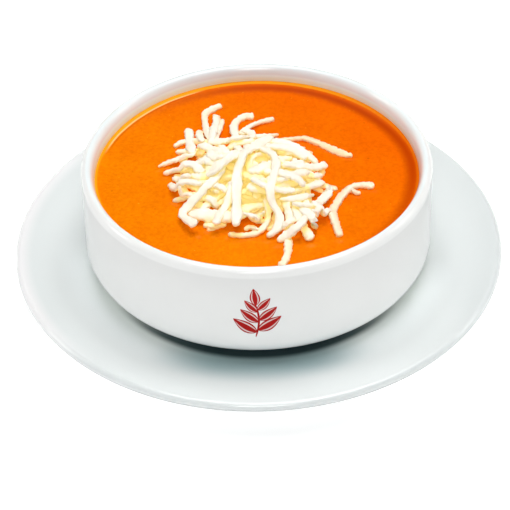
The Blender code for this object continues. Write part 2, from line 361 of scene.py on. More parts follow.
class SharedEffects:
    """Node groups that more than one finish uses, each built once."""

    def __init__(self) -> None:
        """Build the groups."""
        self.relief = self._build_relief()
        self.specks = self._build_specks()
        self.mottle = self._build_mottle()

    @staticmethod
    def _open(name: str, numbers: dict[str, float], colours: tuple[str, ...],
              outputs: dict[str, str]) -> tuple[bpy.types.NodeTree, Wiring, Any, Any]:
        """Start a group with its sockets.

        Args:
            name: Name of the group.
            numbers: Float inputs and their usual values.
            colours: Names of the colour inputs.
            outputs: Output names and socket types.

        Returns:
            The group, its wiring, its input sockets and its output node.
        """
        tree = bpy.data.node_groups.new(name, "ShaderNodeTree")
        tree.interface.new_socket("Vector", in_out="INPUT", socket_type="NodeSocketVector")
        for label, value in numbers.items():
            socket = tree.interface.new_socket(label, in_out="INPUT",
                                               socket_type="NodeSocketFloat")
            socket.default_value = value
        for label in colours:
            tree.interface.new_socket(label, in_out="INPUT", socket_type="NodeSocketColor")
        for label, kind in outputs.items():
            tree.interface.new_socket(label, in_out="OUTPUT", socket_type=kind)
        wiring = Wiring(tree)
        return (tree, wiring, wiring.add("NodeGroupInput").outputs,
                wiring.add("NodeGroupOutput"))

    def _build_relief(self) -> bpy.types.NodeTree:
        """Uneven height: broad waves plus a share of fine grain.

        Returns:
            The node group, whose output is Height.
        """
        tree, wiring, given, result = self._open(
            "uneven_relief", {"Broad Scale": 40.0, "Fine Scale": 400.0, "Fine Share": 0.3},
            (), {"Height": "NodeSocketFloat"})
        broad = wiring.add("ShaderNodeTexNoise",
                           {"Vector": given["Vector"], "Scale": given["Broad Scale"]})
        fine = wiring.add("ShaderNodeTexNoise",
                          {"Vector": given["Vector"], "Scale": given["Fine Scale"],
                           "Detail": 3.0})
        height = wiring.math("MULTIPLY_ADD", fine.outputs["Fac"], given["Fine Share"],
                             broad.outputs["Fac"])
        wiring.put(result.inputs["Height"], height)
        return tree

    def _build_specks(self) -> bpy.types.NodeTree:
        """Mask of round specks: cells of a Voronoi pattern, of which only a share has one.

        Returns:
            The node group, whose output is Mask.
        """
        tree, wiring, given, result = self._open(
            "specks", {"Scale": 400.0, "Size": 0.2, "Share": 0.1},
            (), {"Mask": "NodeSocketFloat"})
        cells = wiring.add("ShaderNodeTexVoronoi",
                           {"Vector": given["Vector"], "Scale": given["Scale"]})
        chance = wiring.add("ShaderNodeSeparateColor", {"Color": cells.outputs["Color"]})
        chosen = wiring.math("LESS_THAN", chance.outputs["Red"], given["Share"])
        size = wiring.product(chance.outputs["Green"], given["Size"])
        inside = wiring.math("SUBTRACT", size, cells.outputs["Distance"])
        round_mask = wiring.ramp(inside, -0.03, 0.05)
        wiring.put(result.inputs["Mask"], wiring.product(chosen, round_mask))
        return tree

    def _build_mottle(self) -> bpy.types.NodeTree:
        """Colour that wanders between two shades with a detailed noise.

        Returns:
            The node group, whose output is Color.
        """
        tree, wiring, given, result = self._open(
            "mottled_colour", {"Scale": 60.0, "Contrast": 1.0}, ("Shade A", "Shade B"),
            {"Color": "NodeSocketColor"})
        noise = wiring.add("ShaderNodeTexNoise",
                           {"Vector": given["Vector"], "Scale": given["Scale"], "Detail": 4.0,
                            "Roughness": 0.6})
        centred = wiring.math("SUBTRACT", noise.outputs["Fac"], 0.5)
        share = wiring.math("MULTIPLY_ADD", centred, given["Contrast"], 0.5)
        clamp = wiring.add("ShaderNodeClamp", {"Value": share})
        wiring.put(result.inputs["Color"],
                   wiring.mix(clamp.outputs[0], given["Shade A"], given["Shade B"]))
        return tree


class MaterialWiring(Wiring):
    """Wiring of one material, with its Object coordinates and the shared groups at hand."""

    def __init__(self, tree: bpy.types.NodeTree, effects: SharedEffects) -> None:
        """Keep the groups and start with the coordinates."""
        super().__init__(tree)
        self.effects = effects
        self.place = self.add("ShaderNodeTexCoord").outputs["Object"]

    @cached_property
    def axes(self) -> Any:
        """The separate Object coordinates X, Y and Z."""
        return self.add("ShaderNodeSeparateXYZ", {0: self.place}).outputs

    @cached_property
    def across(self) -> bpy.types.NodeSocket:
        """Distance from the upright axis: the root of x * x + y * y."""
        x, y = self.axes["X"], self.axes["Y"]
        return self.math("SQRT", self.math("MULTIPLY_ADD", x, x, self.product(y, y)))

    def attribute(self, name: str) -> bpy.types.NodeSocket:
        """Number that the mesh stores for each vertex under a name."""
        return self.add("ShaderNodeAttribute", attribute_name=name).outputs["Fac"]

    def wavering(self, value: Any, scale: float, depth: float,
                 detail: float = 2.0) -> bpy.types.NodeSocket:
        """The value, raised by noise of up to depth."""
        noise = self.add("ShaderNodeTexNoise",
                         {"Vector": self.place, "Scale": scale, "Detail": detail})
        return self.math("MULTIPLY_ADD", noise.outputs["Fac"], depth, value)

    def mottled(self, scale: float, contrast: float, first: Any,
                second: Any) -> bpy.types.NodeSocket:
        """Colour that wanders between two shades."""
        return self.group(self.effects.mottle, {
            "Vector": self.place, "Scale": scale, "Contrast": contrast,
            "Shade A": first, "Shade B": second}).outputs["Color"]

    def speckled(self, scale: float, size: float, share: float) -> bpy.types.NodeSocket:
        """Mask of round specks."""
        return self.group(self.effects.specks, {
            "Vector": self.place, "Scale": scale, "Size": size,
            "Share": share}).outputs["Mask"]

    def uneven(self, scales: tuple[float, float], fine_share: float, strength: float,
               depth: float) -> bpy.types.NodeSocket:
        """Normal of an uneven surface.

        Args:
            scales: Scales of the broad waves and of the fine grain.
            fine_share: Height of the grain against the waves.
            strength: Strength of the bump.
            depth: Height of the bump.

        Returns:
            The normal's socket.
        """
        relief = self.group(self.effects.relief, {
            "Vector": self.place, "Broad Scale": scales[0], "Fine Scale": scales[1],
            "Fine Share": fine_share})
        return self.add("ShaderNodeBump", {"Height": relief.outputs["Height"],
                                           "Strength": strength,
                                           "Distance": depth}).outputs[0]


@dataclass(frozen=True)
class Finish:
    """Base of the finishes: a named material with a Principled BSDF."""

    name: str

    def material(self, effects: SharedEffects) -> bpy.types.Material:
        """Build the material.

        Args:
            effects: The shared node groups.

        Returns:
            The finished material.
        """
        material = bpy.data.materials.new(self.name)
        material.use_nodes = True
        shader = material.node_tree.nodes["Principled BSDF"]
        wiring = MaterialWiring(material.node_tree, effects)
        for name, value in self.inputs(wiring).items():
            wiring.put(shader.inputs[name], value)
        return material

    def inputs(self, wiring: MaterialWiring) -> dict[str, Any]:
        """What goes into the Principled BSDF; each finish gives its own.

        Args:
            wiring: The material's wiring.

        Returns:
            Values or output sockets by input name.
        """
        raise NotImplementedError


@dataclass(frozen=True)
class GlazeFinish(Finish):
    """Glazed porcelain: faintly wavy gloss, rare pinholes and a raw foot ring.

    Attributes:
        colour: Clean glaze.
        shade: Slightly thicker glaze.
        raw_below: Height under which the foot ring is unglazed.
    """

    colour: Colour
    shade: Colour
    raw_below: float
    roughness: float = 0.12
    raw_colour: Colour = (0.70, 0.68, 0.64)
    pinhole_colour: Colour = (0.55, 0.53, 0.50)

    def inputs(self, wiring: MaterialWiring) -> dict[str, Any]:
        """Glaze with its painted light and shade, turning to raw clay on the foot ring.

        Args:
            wiring: The material's wiring.

        Returns:
            Values or output sockets by input name.
        """
        colour = wiring.mix(wiring.speckled(260.0, 0.06, 0.03),
                            wiring.mottled(35.0, 1.6, self.colour, self.shade),
                            self.pinhole_colour)
        colour = self.shaded(wiring, colour)
        raw_edge = wiring.wavering(wiring.axes["Z"], 300.0, 0.4 * MM)
        raw = wiring.ramp(raw_edge, self.raw_below + 0.15 * MM, self.raw_below + 0.3 * MM,
                          1.0, 0.0)
        return {
            "Base Color": wiring.mix(raw, colour, self.raw_colour),
            "Roughness": wiring.ramp(raw, 0.0, 1.0, self.roughness, 0.8),
            "Normal": wiring.uneven((45.0, 900.0), 0.02, 0.12, 0.4 * MM),
            "Specular IOR Level": 0.5, "IOR": 1.5}

    def shaded(self, wiring: MaterialWiring, colour: Any) -> Any:
        """The glaze's colour with its own painted light and shade; each glaze gives its own."""
        raise NotImplementedError


@dataclass(frozen=True, kw_only=True)
class PlateGlaze(GlazeFinish):
    """Glaze of the plate, with painted shadow and light round the bowl and a painted contact
    shadow where the bowl's foot stands.

    Attributes:
        painted_shade_radii: Radii between which the painted shadow and light round the bowl
            fade out.
        contact_shadow_radii: Radii between which the painted contact shadow fades out.
        painted_shade_floor: Height over which the painted shadow, light and contact shadow lie.
        edge_radius: Radius of the middle of the rounded edge.
        edge_height: Its height.
        front_shadow_tint: Tint of the painted shadow in front of the bowl.
        side_light_tint: Tint of the painted light at the bowl's sides.
        contact_shadow_tint: Tint of the painted contact shadow.
        rim_highlight_tint: Tint of the painted highlight on the rim on the left.
        under_edge_shade_tint: Tint of the painted shade on the lower half of the edge.
    """

    painted_shade_radii: tuple[float, float]
    contact_shadow_radii: tuple[float, float]
    painted_shade_floor: float
    edge_radius: float
    edge_height: float
    front_shadow_tint: Colour = (0.56, 0.70, 0.73)
    side_light_tint: Colour = (1.28, 1.28, 1.29)
    contact_shadow_tint: Colour = (0.09, 0.12, 0.13)
    rim_highlight_tint: Colour = (1.16, 1.10, 1.11)
    under_edge_shade_tint: Colour = (0.40, 0.40, 0.41)

    def shaded(self, wiring: MaterialWiring, colour: Any) -> Any:
        """Paint the bowl's shadow and light on the well, and a contact shadow where the foot
        stands.

        The painted shadow lies within some 30 degrees of the front, painted light at the sides;
        the rim on the left gets a painted highlight and the edge's lower half painted shade.

        Args:
            wiring: The material's wiring.
            colour: Colour of the clean glaze.

        Returns:
            The tinted colour.
        """
        away = wiring.math("MAXIMUM", wiring.across, MM)
        facing = wiring.math("DIVIDE", wiring.axes["Y"], away)
        leaning = wiring.math("MULTIPLY_ADD", wiring.axes["X"], 0.15, wiring.axes["Y"])
        askew = wiring.math("DIVIDE", leaning, away)
        # Painted light at the bowl's sides and painted shadow of the bowl in front of it.
        side = wiring.mix(wiring.ramp(askew, 0.05, -0.35), WHITE, self.side_light_tint)
        painted_shade_and_light = wiring.mix(wiring.ramp(facing, -0.80, -0.975), side, self.front_shadow_tint)
        on_top = wiring.math("GREATER_THAN", wiring.axes["Z"], self.painted_shade_floor)
        # Painted contact shadow: a dark ring in front, under where the bowl's foot stands.
        in_front = wiring.product(on_top, wiring.ramp(facing, -0.4, -0.85))
        for tint, radii, where in ((painted_shade_and_light, self.painted_shade_radii, on_top),
                                   (self.contact_shadow_tint, self.contact_shadow_radii, in_front)):
            share = wiring.product(where, wiring.ramp(wiring.across, *radii, 1.0, 0.0))
            colour = wiring.tinted(colour, share, tint)
        # Painted highlight: the rim on the left is lighter.
        left = wiring.ramp(wiring.math("DIVIDE", wiring.axes["X"], away), -0.6, -0.95)
        rim = wiring.ramp(wiring.across, self.edge_radius - 5.0 * MM, self.edge_radius)
        colour = wiring.tinted(colour, wiring.product(left, rim), self.rim_highlight_tint)
        # Painted shade: the lower half of the rounded edge is darker.
        outer = wiring.ramp(wiring.across, self.edge_radius - MM, self.edge_radius)
        below = wiring.ramp(wiring.axes["Z"], self.edge_height + 0.1 * MM,
                            self.edge_height - 1.2 * MM)
        return wiring.tinted(colour, wiring.product(outer, below), self.under_edge_shade_tint)


@dataclass(frozen=True, kw_only=True)
class BowlGlaze(GlazeFinish):
    """Glaze of the bowl, with a thin film of soup on the wall above the soup, and painted light
    and shade on the outer wall, the lip and the inner wall.

    Attributes:
        film_low: Height of the soup's edge.
        film_high: Height at which the film ends.
        film_radius: Outside this radius there is no film.
        film_depth: How far under the soup's edge the film still reaches.
        wall_heights: Bottom and top of the outer wall, between which its painted shading
            changes.
        painted_wall_shading: Tones of the outer wall at its bottom and its top: painted light
            low down and painted shade under the lip.
        painted_lip_tone: Tone of the lip's outer half in that painted shading.
        painted_inner_lip_light: Tint of painted light on its inner half.
        painted_back_lip_shade: Tint of painted shade on the lip at the back.
        painted_inner_wall_light: Tint of painted light on the wall inside the lip.
        painted_low_wall_light: Tint of painted light on that wall just above the soup.
    """

    film_low: float
    film_high: float
    film_radius: float
    film_depth: float = 4.0 * MM
    wall_heights: tuple[float, float]
    film_colour: Colour = (0.86, 0.52, 0.18)
    painted_wall_shading: tuple[float, float] = (1.21, 0.905)
    painted_lip_tone: float = 1.02
    painted_inner_lip_light: Colour = (1.03, 1.09, 1.11)
    painted_back_lip_shade: Colour = (0.91, 0.92, 0.93)
    painted_inner_wall_light: Colour = (1.05, 1.25, 1.25)
    painted_low_wall_light: Colour = (1.05, 1.10, 0.94)

    def shaded(self, wiring: MaterialWiring, colour: Any) -> Any:
        """Paint light and shade on the outer wall and the lip, and light on the inner wall.

        Args:
            wiring: The material's wiring.
            colour: Colour of the clean glaze.

        Returns:
            The tinted colour.
        """
        inside = wiring.ramp(wiring.across, self.film_radius, self.film_radius + 0.3 * MM,
                             1.0, 0.0)
        # Painted shading of the outer wall: lighter low down, darker under the lip, lip lighter
        # again.
        wall = wiring.add("ShaderNodeMapRange", {0: wiring.axes["Z"], 1: self.wall_heights[0],
                                                 2: self.wall_heights[1], 3: self.painted_wall_shading[0],
                                                 4: self.painted_wall_shading[1]}).outputs[0]
        lip = wiring.ramp(wiring.axes["Z"], self.wall_heights[1] + 0.2 * MM,
                          self.wall_heights[1] + 1.3 * MM)
        tone = wiring.math("MULTIPLY_ADD", lip, wiring.math("SUBTRACT", self.painted_lip_tone, wall),
                           wall)
        tone = wiring.add("ShaderNodeCombineXYZ", {0: tone, 1: tone, 2: tone}).outputs[0]
        # Painted light on the inner wall and the lip's inner half, which keeps them pale beside
        # the soup.
        high = wiring.ramp(wiring.axes["Z"], self.film_low + 0.5 * MM, self.film_low + 3.0 * MM)
        inner = wiring.mix(high, self.painted_low_wall_light, self.painted_inner_wall_light)
        inner = wiring.mix(lip, inner, self.painted_inner_lip_light)
        colour = wiring.times(colour, wiring.mix(inside, tone, inner))
        # Painted shade on the lip at the back.
        facing = wiring.math("DIVIDE", wiring.axes["Y"], wiring.across)
        shaded = wiring.product(lip, wiring.ramp(facing, 0.55, 0.95))
        colour = wiring.tinted(colour, shaded, self.painted_back_lip_shade)
        ragged = wiring.wavering(wiring.axes["Z"], 130.0, 1.2 * MM, 4.0)
        film = wiring.ramp(ragged, self.film_low, self.film_high, 1.0, 0.0)
        above = wiring.math("GREATER_THAN", wiring.axes["Z"], self.film_low - self.film_depth)
        return wiring.mix(wiring.product(film, inside, above), colour, self.film_colour)


@dataclass(frozen=True)
class SoupFinish(Finish):
    """Smooth tomato soup: faint mottling, spice specks, an oily golden edge along the wall
    and inside it a dark ring of painted shadow, where the wall shades the soup.

    Towards one side the soup is darker and redder with painted shade and the ring stronger;
    towards another the golden edge is brighter with painted light, and there a painted
    highlight line runs along it with a thin line of painted shade inside.

    Attributes:
        edge_radius: Radius where the soup meets the wall.
        edge_width: Width of the golden edge.
        ring_distance: Middle of the painted shadow ring from the wall.
        back_shifts: How much farther in the shadow ring and the golden edge lie at the back.
        ring_reach: How far the shadow ring fades out to each side.
        ring_heading: Direction of its darkest side, as the cosine and sine of its angle.
        lit_edge_heading: Direction of the brightest golden edge, lit by painted light.
    """

    edge_radius: float
    edge_width: float
    ring_distance: float = 2.1 * MM
    back_shifts: tuple[float, float] = (2.3 * MM, 0.9 * MM)
    ring_reach: tuple[float, float] = (3.2 * MM, 4.6 * MM)
    ring_heading: tuple[float, float] = (0.74, 0.67)
    lit_edge_heading: tuple[float, float] = (-0.75, 0.66)
    colour: Colour = (0.87, 0.228, 0.0006)
    # Painted shade: the soup's darker, redder colour on the side that the wall shades.
    red: Colour = (0.85, 0.140, 0.0003)
    deep: Colour = (0.94, 0.82, 0.8)
    fine_blots: tuple[Colour, Colour] = ((1.02, 1.04, 1.0), (0.90, 0.78, 0.8))
    ring_shadow_colour: Colour = (0.47, 0.046, 0.0002)
    edge_colour: Colour = (0.87, 0.33, 0.01)
    painted_highlight_colour: Colour = (0.93, 0.58, 0.22)
    dark_speck: Colour = (0.50, 0.06, 0.001)
    pale_speck: Colour = (1.0, 0.42, 0.05)

    def inputs(self, wiring: MaterialWiring) -> dict[str, Any]:
        """Soup with painted shade towards one side, its painted shadow ring and its golden edge.

        Args:
            wiring: The material's wiring.

        Returns:
            Values or output sockets by input name.
        """
        # Painted shade: the soup turns darker and redder towards the shaded side.
        along = self._towards(wiring, self.ring_heading)
        painted_shade_share = wiring.ramp(along, -0.8 * self.edge_radius, 1.1 * self.edge_radius)
        body = self._mottled(wiring, wiring.mix(painted_shade_share, self.colour, self.red))
        wavy = wiring.wavering(wiring.across, 90.0, 0.4 * MM)
        back = wiring.ramp(wiring.math("DIVIDE", wiring.axes["Y"], wiring.across), 0.0, 0.8)
        for tinted, heading, shift in (
                (self._with_ring_shadow, self.ring_heading, self.back_shifts[0]),
                (self._with_edge, self.lit_edge_heading, self.back_shifts[1])):
            facing = wiring.math("DIVIDE", self._towards(wiring, heading), wiring.across)
            shifted = wiring.math("MULTIPLY_ADD", back, shift, wavy)
            body = tinted(wiring, facing, shifted, body)
        return {
            "Base Color": body,
            "Normal": wiring.uneven((120.0, 1500.0), 0.12, 0.15, 0.3 * MM),
            "Roughness": 0.2, "IOR": 1.36, "Specular IOR Level": 0.06}

    @staticmethod
    def _towards(wiring: MaterialWiring, heading: tuple[float, float]) -> Any:
        """Position . heading, both flat."""
        return wiring.math("MULTIPLY_ADD", wiring.axes["X"], heading[0],
                           wiring.product(wiring.axes["Y"], heading[1]))

    def _mottled(self, wiring: MaterialWiring, colour: Any) -> Any:
        """Vary a colour in broad and fine blots and strew it with specks.

        Args:
            wiring: The material's wiring.
            colour: The plain colour.

        Returns:
            The varied colour.
        """
        for scale, contrast, first, second in ((45.0, 2.2, WHITE, self.deep),
                                               (800.0, 3.0, *self.fine_blots)):
            colour = wiring.times(colour, wiring.mottled(scale, contrast,
                                                          first, second))
        for scale, size, share, strength, tone in ((420.0, 0.24, 0.07, 0.5, self.dark_speck),
                                                   (610.0, 0.25, 0.06, 0.35, self.pale_speck)):
            specks = wiring.speckled(scale, size, share)
            colour = wiring.mix(wiring.product(specks, strength), colour, tone)
        return colour

    def _with_ring_shadow(self, wiring: MaterialWiring, facing: Any, wavy: Any, colour: Any) -> Any:
        """Paint the wall's shadow on the soup as a dark ring near the wall.

        Args:
            wiring: The material's wiring.
            facing: Cosine of the angle from the ring's darkest side.
            wavy: Distance from the middle, made a little uneven.
            colour: Colour of the soup.

        Returns:
            The colour with its ring.
        """
        # Painted shadow of the wall on the soup, strongest on one side.
        middle = self.edge_radius - self.ring_distance
        rise = wiring.ramp(wavy, middle - self.ring_reach[1], middle)
        fall = wiring.ramp(wavy, middle, middle + self.ring_reach[0], 1.0, 0.4)
        side = wiring.ramp(facing, -0.3, 0.8)
        return wiring.mix(wiring.product(rise, fall, side), colour, self.ring_shadow_colour)

    def _with_edge(self, wiring: MaterialWiring, facing: Any, wavy: Any, colour: Any) -> Any:
        """Add the golden edge, brighter with painted light on its lit side, and there a painted
        highlight line with a thin line of painted shade inside it.

        Args:
            wiring: The material's wiring.
            facing: Cosine of the angle from the edge's brightest side.
            wavy: Distance from the middle, made a little uneven.
            colour: Colour of the soup.

        Returns:
            The colour with its edge.
        """
        start = self.edge_radius - self.edge_width
        edge = wiring.ramp(wavy, start, self.edge_radius - 0.2 * self.edge_width)
        # Painted light: the golden edge is stronger on its lit side.
        side = wiring.ramp(facing, -0.6, 0.7, 0.25, 1.0)
        colour = wiring.mix(wiring.product(edge, side), colour, self.edge_colour)
        shining = wiring.ramp(facing, 0.87, 0.95)
        # Painted highlight line and, inside it, a thin line of painted shade.
        for middle, half, strength, tone in (
                (start - 0.8 * MM, 0.8 * MM, 0.45, self.ring_shadow_colour),
                (start + 0.2 * MM, 0.6 * MM, 1.0, self.painted_highlight_colour)):
            line = wiring.product(wiring.ramp(wavy, middle - half, middle),
                                  wiring.ramp(wavy, middle, middle + half, strength, 0.0),
                                  shining)
            colour = wiring.mix(line, colour, tone)
        return colour


@dataclass(frozen=True)
class CheeseFinish(Finish):
    """Young white cheese, with painted shade in creamy yellow where it is closed in, and peach
    where it is soaked.

    Attributes:
        colour: On top of the heap.
        shade: Second shade of the mottling.
        deep: Painted shade where a shred is closed in by others.
        soaked: Where it touches the soup.
        painted_glow: Painted glow, as if light came through the cheese where it is closed in.
    """

    colour: Colour = (0.97, 0.89, 0.80)
    shade: Colour = (0.965, 0.845, 0.70)
    # Painted shade: creamy yellow for shreds closed in by others.
    deep: Colour = (0.98, 0.825, 0.42)
    soaked: Colour = (0.97, 0.61, 0.28)
    # Painted glow: emission where the cheese is closed in.
    painted_glow: Colour = (0.125, 0.11, 0.035)

    def inputs(self, wiring: MaterialWiring) -> dict[str, Any]:
        """Cheese, which reads the mesh's attributes "crevice_shade", its painted shade, and
        "wet".

        Args:
            wiring: The material's wiring.

        Returns:
            Values or output sockets by input name.
        """
        # Painted shade in the crevices, from how closed in each vertex is.
        painted_crevice_shade = wiring.ramp(wiring.attribute("crevice_shade"), 0.25, 0.95)
        soaking = wiring.product(wiring.ramp(wiring.attribute("wet"), 0.05, 1.0), 0.75)
        top = wiring.mottled(220.0, 1.8, self.colour, self.shade)
        dry = wiring.mix(painted_crevice_shade, top, self.deep)
        return {
            "Base Color": wiring.mix(soaking, dry, self.soaked),
            # Painted glow in the crevices.
            "Emission Color": wiring.mix(painted_crevice_shade, BLACK, self.painted_glow),
            "Normal": wiring.uneven((500.0, 1800.0), 0.5, 0.3, 0.2 * MM),
            "Emission Strength": 1.0, "Roughness": 0.42, "Specular IOR Level": 0.3,
            "Subsurface Weight": 0.5, "Subsurface Radius": WHITE,
            "Subsurface Scale": 0.8 * MM}


@dataclass(frozen=True)
class PrintFinish(Finish):
    """Red ceramic print under the glaze, with a pale line left out inside each leaf."""

    colour: Colour = (0.375, 0.0055, 0.005)
    worn: Colour = (0.43, 0.010, 0.008)
    rib: Colour = (0.78, 0.70, 0.68)

    def inputs(self, wiring: MaterialWiring) -> dict[str, Any]:
        """Print, which reads the mesh's attribute "rib".

        Args:
            wiring: The material's wiring.

        Returns:
            Values or output sockets by input name.
        """
        red = wiring.mottled(700.0, 1.5, self.colour, self.worn)
        return {
            "Base Color": wiring.mix(wiring.attribute("rib"), red, self.rib),
            "Roughness": 0.3, "Specular IOR Level": 0.08}


@dataclass(frozen=True)
class TableFinish(Finish):
    """Matt pale grey table top with a light of its own, as a light table has."""

    colour: Colour = (0.60, 0.60, 0.60)
    backlight: float = 0.95

    def inputs(self, wiring: MaterialWiring) -> dict[str, Any]:
        """One plain colour, which is also the colour of its own light.

        Args:
            wiring: The material's wiring.

        Returns:
            Values or output sockets by input name.
        """
        return {
            "Base Color": self.colour, "Emission Color": self.colour,
            "Emission Strength": self.backlight, "Roughness": 0.9,
            "Specular IOR Level": 0.1}


# ---------------------------------------------------------------- plate and bowl

@dataclass
class SaucerPlate:
    """Round plate with a flat well, a gently rising floor, a rounded edge and a foot ring."""

    radius: float = 95.0 * MM
    edge_round: float = 1.8 * MM
    edge_height: float = 13.1 * MM
    well_radius: float = 58.0 * MM
    well_height: float = 7.0 * MM
    rise_power: float = 1.5
    foot_radius: float = 57.0 * MM
    foot_width: float = 5.0 * MM
    foot_round: float = 1.0 * MM
    underside: float = 3.2 * MM
    underside_rise: float = 2.4 * MM
    segments: int = 224

    def profile(self) -> np.ndarray:
        """Half section: foot ring, underside, rounded edge, and the floor, which rises from
        the well as height = well + climb * share ** rise_power.

        Returns:
            (radius, height) rows from the axis underneath to the axis on top.
        """
        edge_middle = self.radius - self.edge_round
        underneath = foot_ring(self.foot_radius, self.foot_width, self.foot_round,
                               self.underside, 12)
        edge_low = arc((edge_middle, self.edge_height), (self.edge_round, self.edge_round),
                       -75.0, 90.0, 22)
        middle = (0.5 * (self.foot_radius + edge_middle), self.underside + self.underside_rise)
        share = np.linspace(1.0, 0.0, 50)[1:]
        top = self.edge_height + self.edge_round
        floor = np.column_stack([
            self.well_radius + share * (edge_middle - self.well_radius),
            self.well_height + (top - self.well_height) * share ** self.rise_power])
        return np.vstack([
            underneath,
            straight((self.foot_radius + self.foot_round, self.underside), middle, 8),
            [middle],
            straight(middle, tuple(edge_low[0]), 8),
            edge_low,
            floor,
            straight((self.well_radius, self.well_height), (0.0, self.well_height), 14),
            [(0.0, self.well_height)]])

    def build(self, effects: SharedEffects) -> bpy.types.Object:
        """Build and dress the plate."""
        finish = PlateGlaze("plate_glaze", (0.70, 0.73, 0.735), (0.69, 0.722, 0.73),
                            raw_below=0.25 * MM, painted_shade_radii=(68.0 * MM, 81.0 * MM),
                            contact_shadow_radii=(61.2 * MM, 64.9 * MM),
                            painted_shade_floor=0.8 * self.well_height,
                            edge_radius=self.radius - self.edge_round,
                            edge_height=self.edge_height)
        plate = turned_shell(self.profile(), self.segments).as_piece(
            "saucer_plate_glazed", finish.material(effects), "plate_porcelain")
        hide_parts("saucer_plate")
        return plate


@dataclass
class SoupBowl:
    """Straight-sided bowl with a rounded lip, a tight lower corner and a foot ring.

    Heights are counted from the bowl's own foot, which stands at base.  Inside, the lip runs
    down to the soup in a quarter of a tall ellipse whose sine and cosine are raised to the
    slope's fullness, which makes its shoulder fuller.
    """

    base: float = 7.3 * MM
    lip_radius: float = 66.5 * MM
    lip_round: float = 1.95 * MM
    lip_height: float = 42.7 * MM
    wall_foot_radius: float = 67.3 * MM
    corner: tuple[float, float] = (11.2 * MM, 9.0 * MM)
    foot_radius: float = 51.0 * MM
    foot_width: float = 5.0 * MM
    foot_height: float = 2.7 * MM
    foot_round: float = 0.8 * MM
    floor_height: float = 7.0 * MM
    inside_radius: float = 61.6 * MM
    inside_corner: float = 13.0 * MM
    soup_height: float = 38.3 * MM
    slope_below_soup: float = 1.0 * MM
    slope_fullness: float = 0.82
    segments: int = 224

    def inside(self, out: float, top: float) -> np.ndarray:
        """Inner wall from the floor's edge up, moved outwards.

        Args:
            out: Distance that it is moved out.
            top: Height at which it ends.

        Returns:
            (radius, height) rows, heights from the bowl's foot.
        """
        wall = self.inside_radius + out
        corner = self.inside_corner
        bend = arc((wall - corner, self.floor_height - out + corner), (corner, corner),
                   -90.0, 0.0, 18)
        return np.vstack([bend, straight(tuple(bend[-1]), (wall, top), 10), [(wall, top)]])

    def wall_radius(self, height: float | np.ndarray) -> float | np.ndarray:
        """Outer radius at a height above the bowl's foot, on the straight wall."""
        low = self.foot_height + self.corner[1]
        share = (height - low) / (self.lip_height - low)
        return self.wall_foot_radius + share * (self.lip_radius - self.wall_foot_radius)

    def profile(self) -> np.ndarray:
        """Half section: foot ring, elliptic corner, straight wall, lip and inside.

        Returns:
            (radius, height) rows from the axis underneath to the axis inside.
        """
        corner = arc((self.wall_foot_radius - self.corner[0],
                      self.foot_height + self.corner[1]), self.corner, -90.0, 0.0, 24)
        lip_middle = self.lip_radius - self.lip_round
        lip = arc((lip_middle, self.lip_height), (self.lip_round, self.lip_round),
                  0.0, 90.0, 14)
        slope_foot = self.soup_height - self.slope_below_soup
        turn = np.linspace(0.0, 0.5 * np.pi, 30)[1:]
        fall = self.lip_height + self.lip_round - slope_foot
        slope = np.column_stack([
            lip_middle - (lip_middle - self.inside_radius) * np.sin(turn) ** self.slope_fullness,
            slope_foot + fall * np.cos(turn) ** self.slope_fullness])
        inside = self.inside(0.0, slope_foot)[-2::-1]
        rows = np.vstack([
            foot_ring(self.foot_radius, self.foot_width, self.foot_round,
                      self.foot_height, 10),
            corner,
            straight(tuple(corner[-1]), tuple(lip[0]), 24),
            lip,
            slope,
            inside,
            straight(tuple(inside[-1]), (0.0, self.floor_height), 10),
            [(0.0, self.floor_height)]])
        return rows + np.array([0.0, self.base])

    def build(self, effects: SharedEffects) -> bpy.types.Object:
        """Build and dress the bowl."""
        soup_top = self.base + self.soup_height
        finish = BowlGlaze("bowl_glaze", (0.795, 0.795, 0.79), (0.78, 0.782, 0.78),
                           raw_below=self.base + 0.25 * MM,
                           film_low=soup_top + 0.2 * MM, film_high=soup_top + 1.3 * MM,
                           film_radius=self.lip_radius - self.lip_round,
                           wall_heights=(self.base + 8.0 * MM,
                                         self.base + self.lip_height - self.lip_round))
        bowl = turned_shell(self.profile(), self.segments).as_piece(
            "soup_bowl_glazed", finish.material(effects), "bowl_porcelain")
        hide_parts("soup_bowl")
        return bowl


# ---------------------------------------------------------------- printed sprig

class SprigPart(Enum):
    """What a part of the sprig is."""

    STEM = "stem"
    LEAF = "leaf"


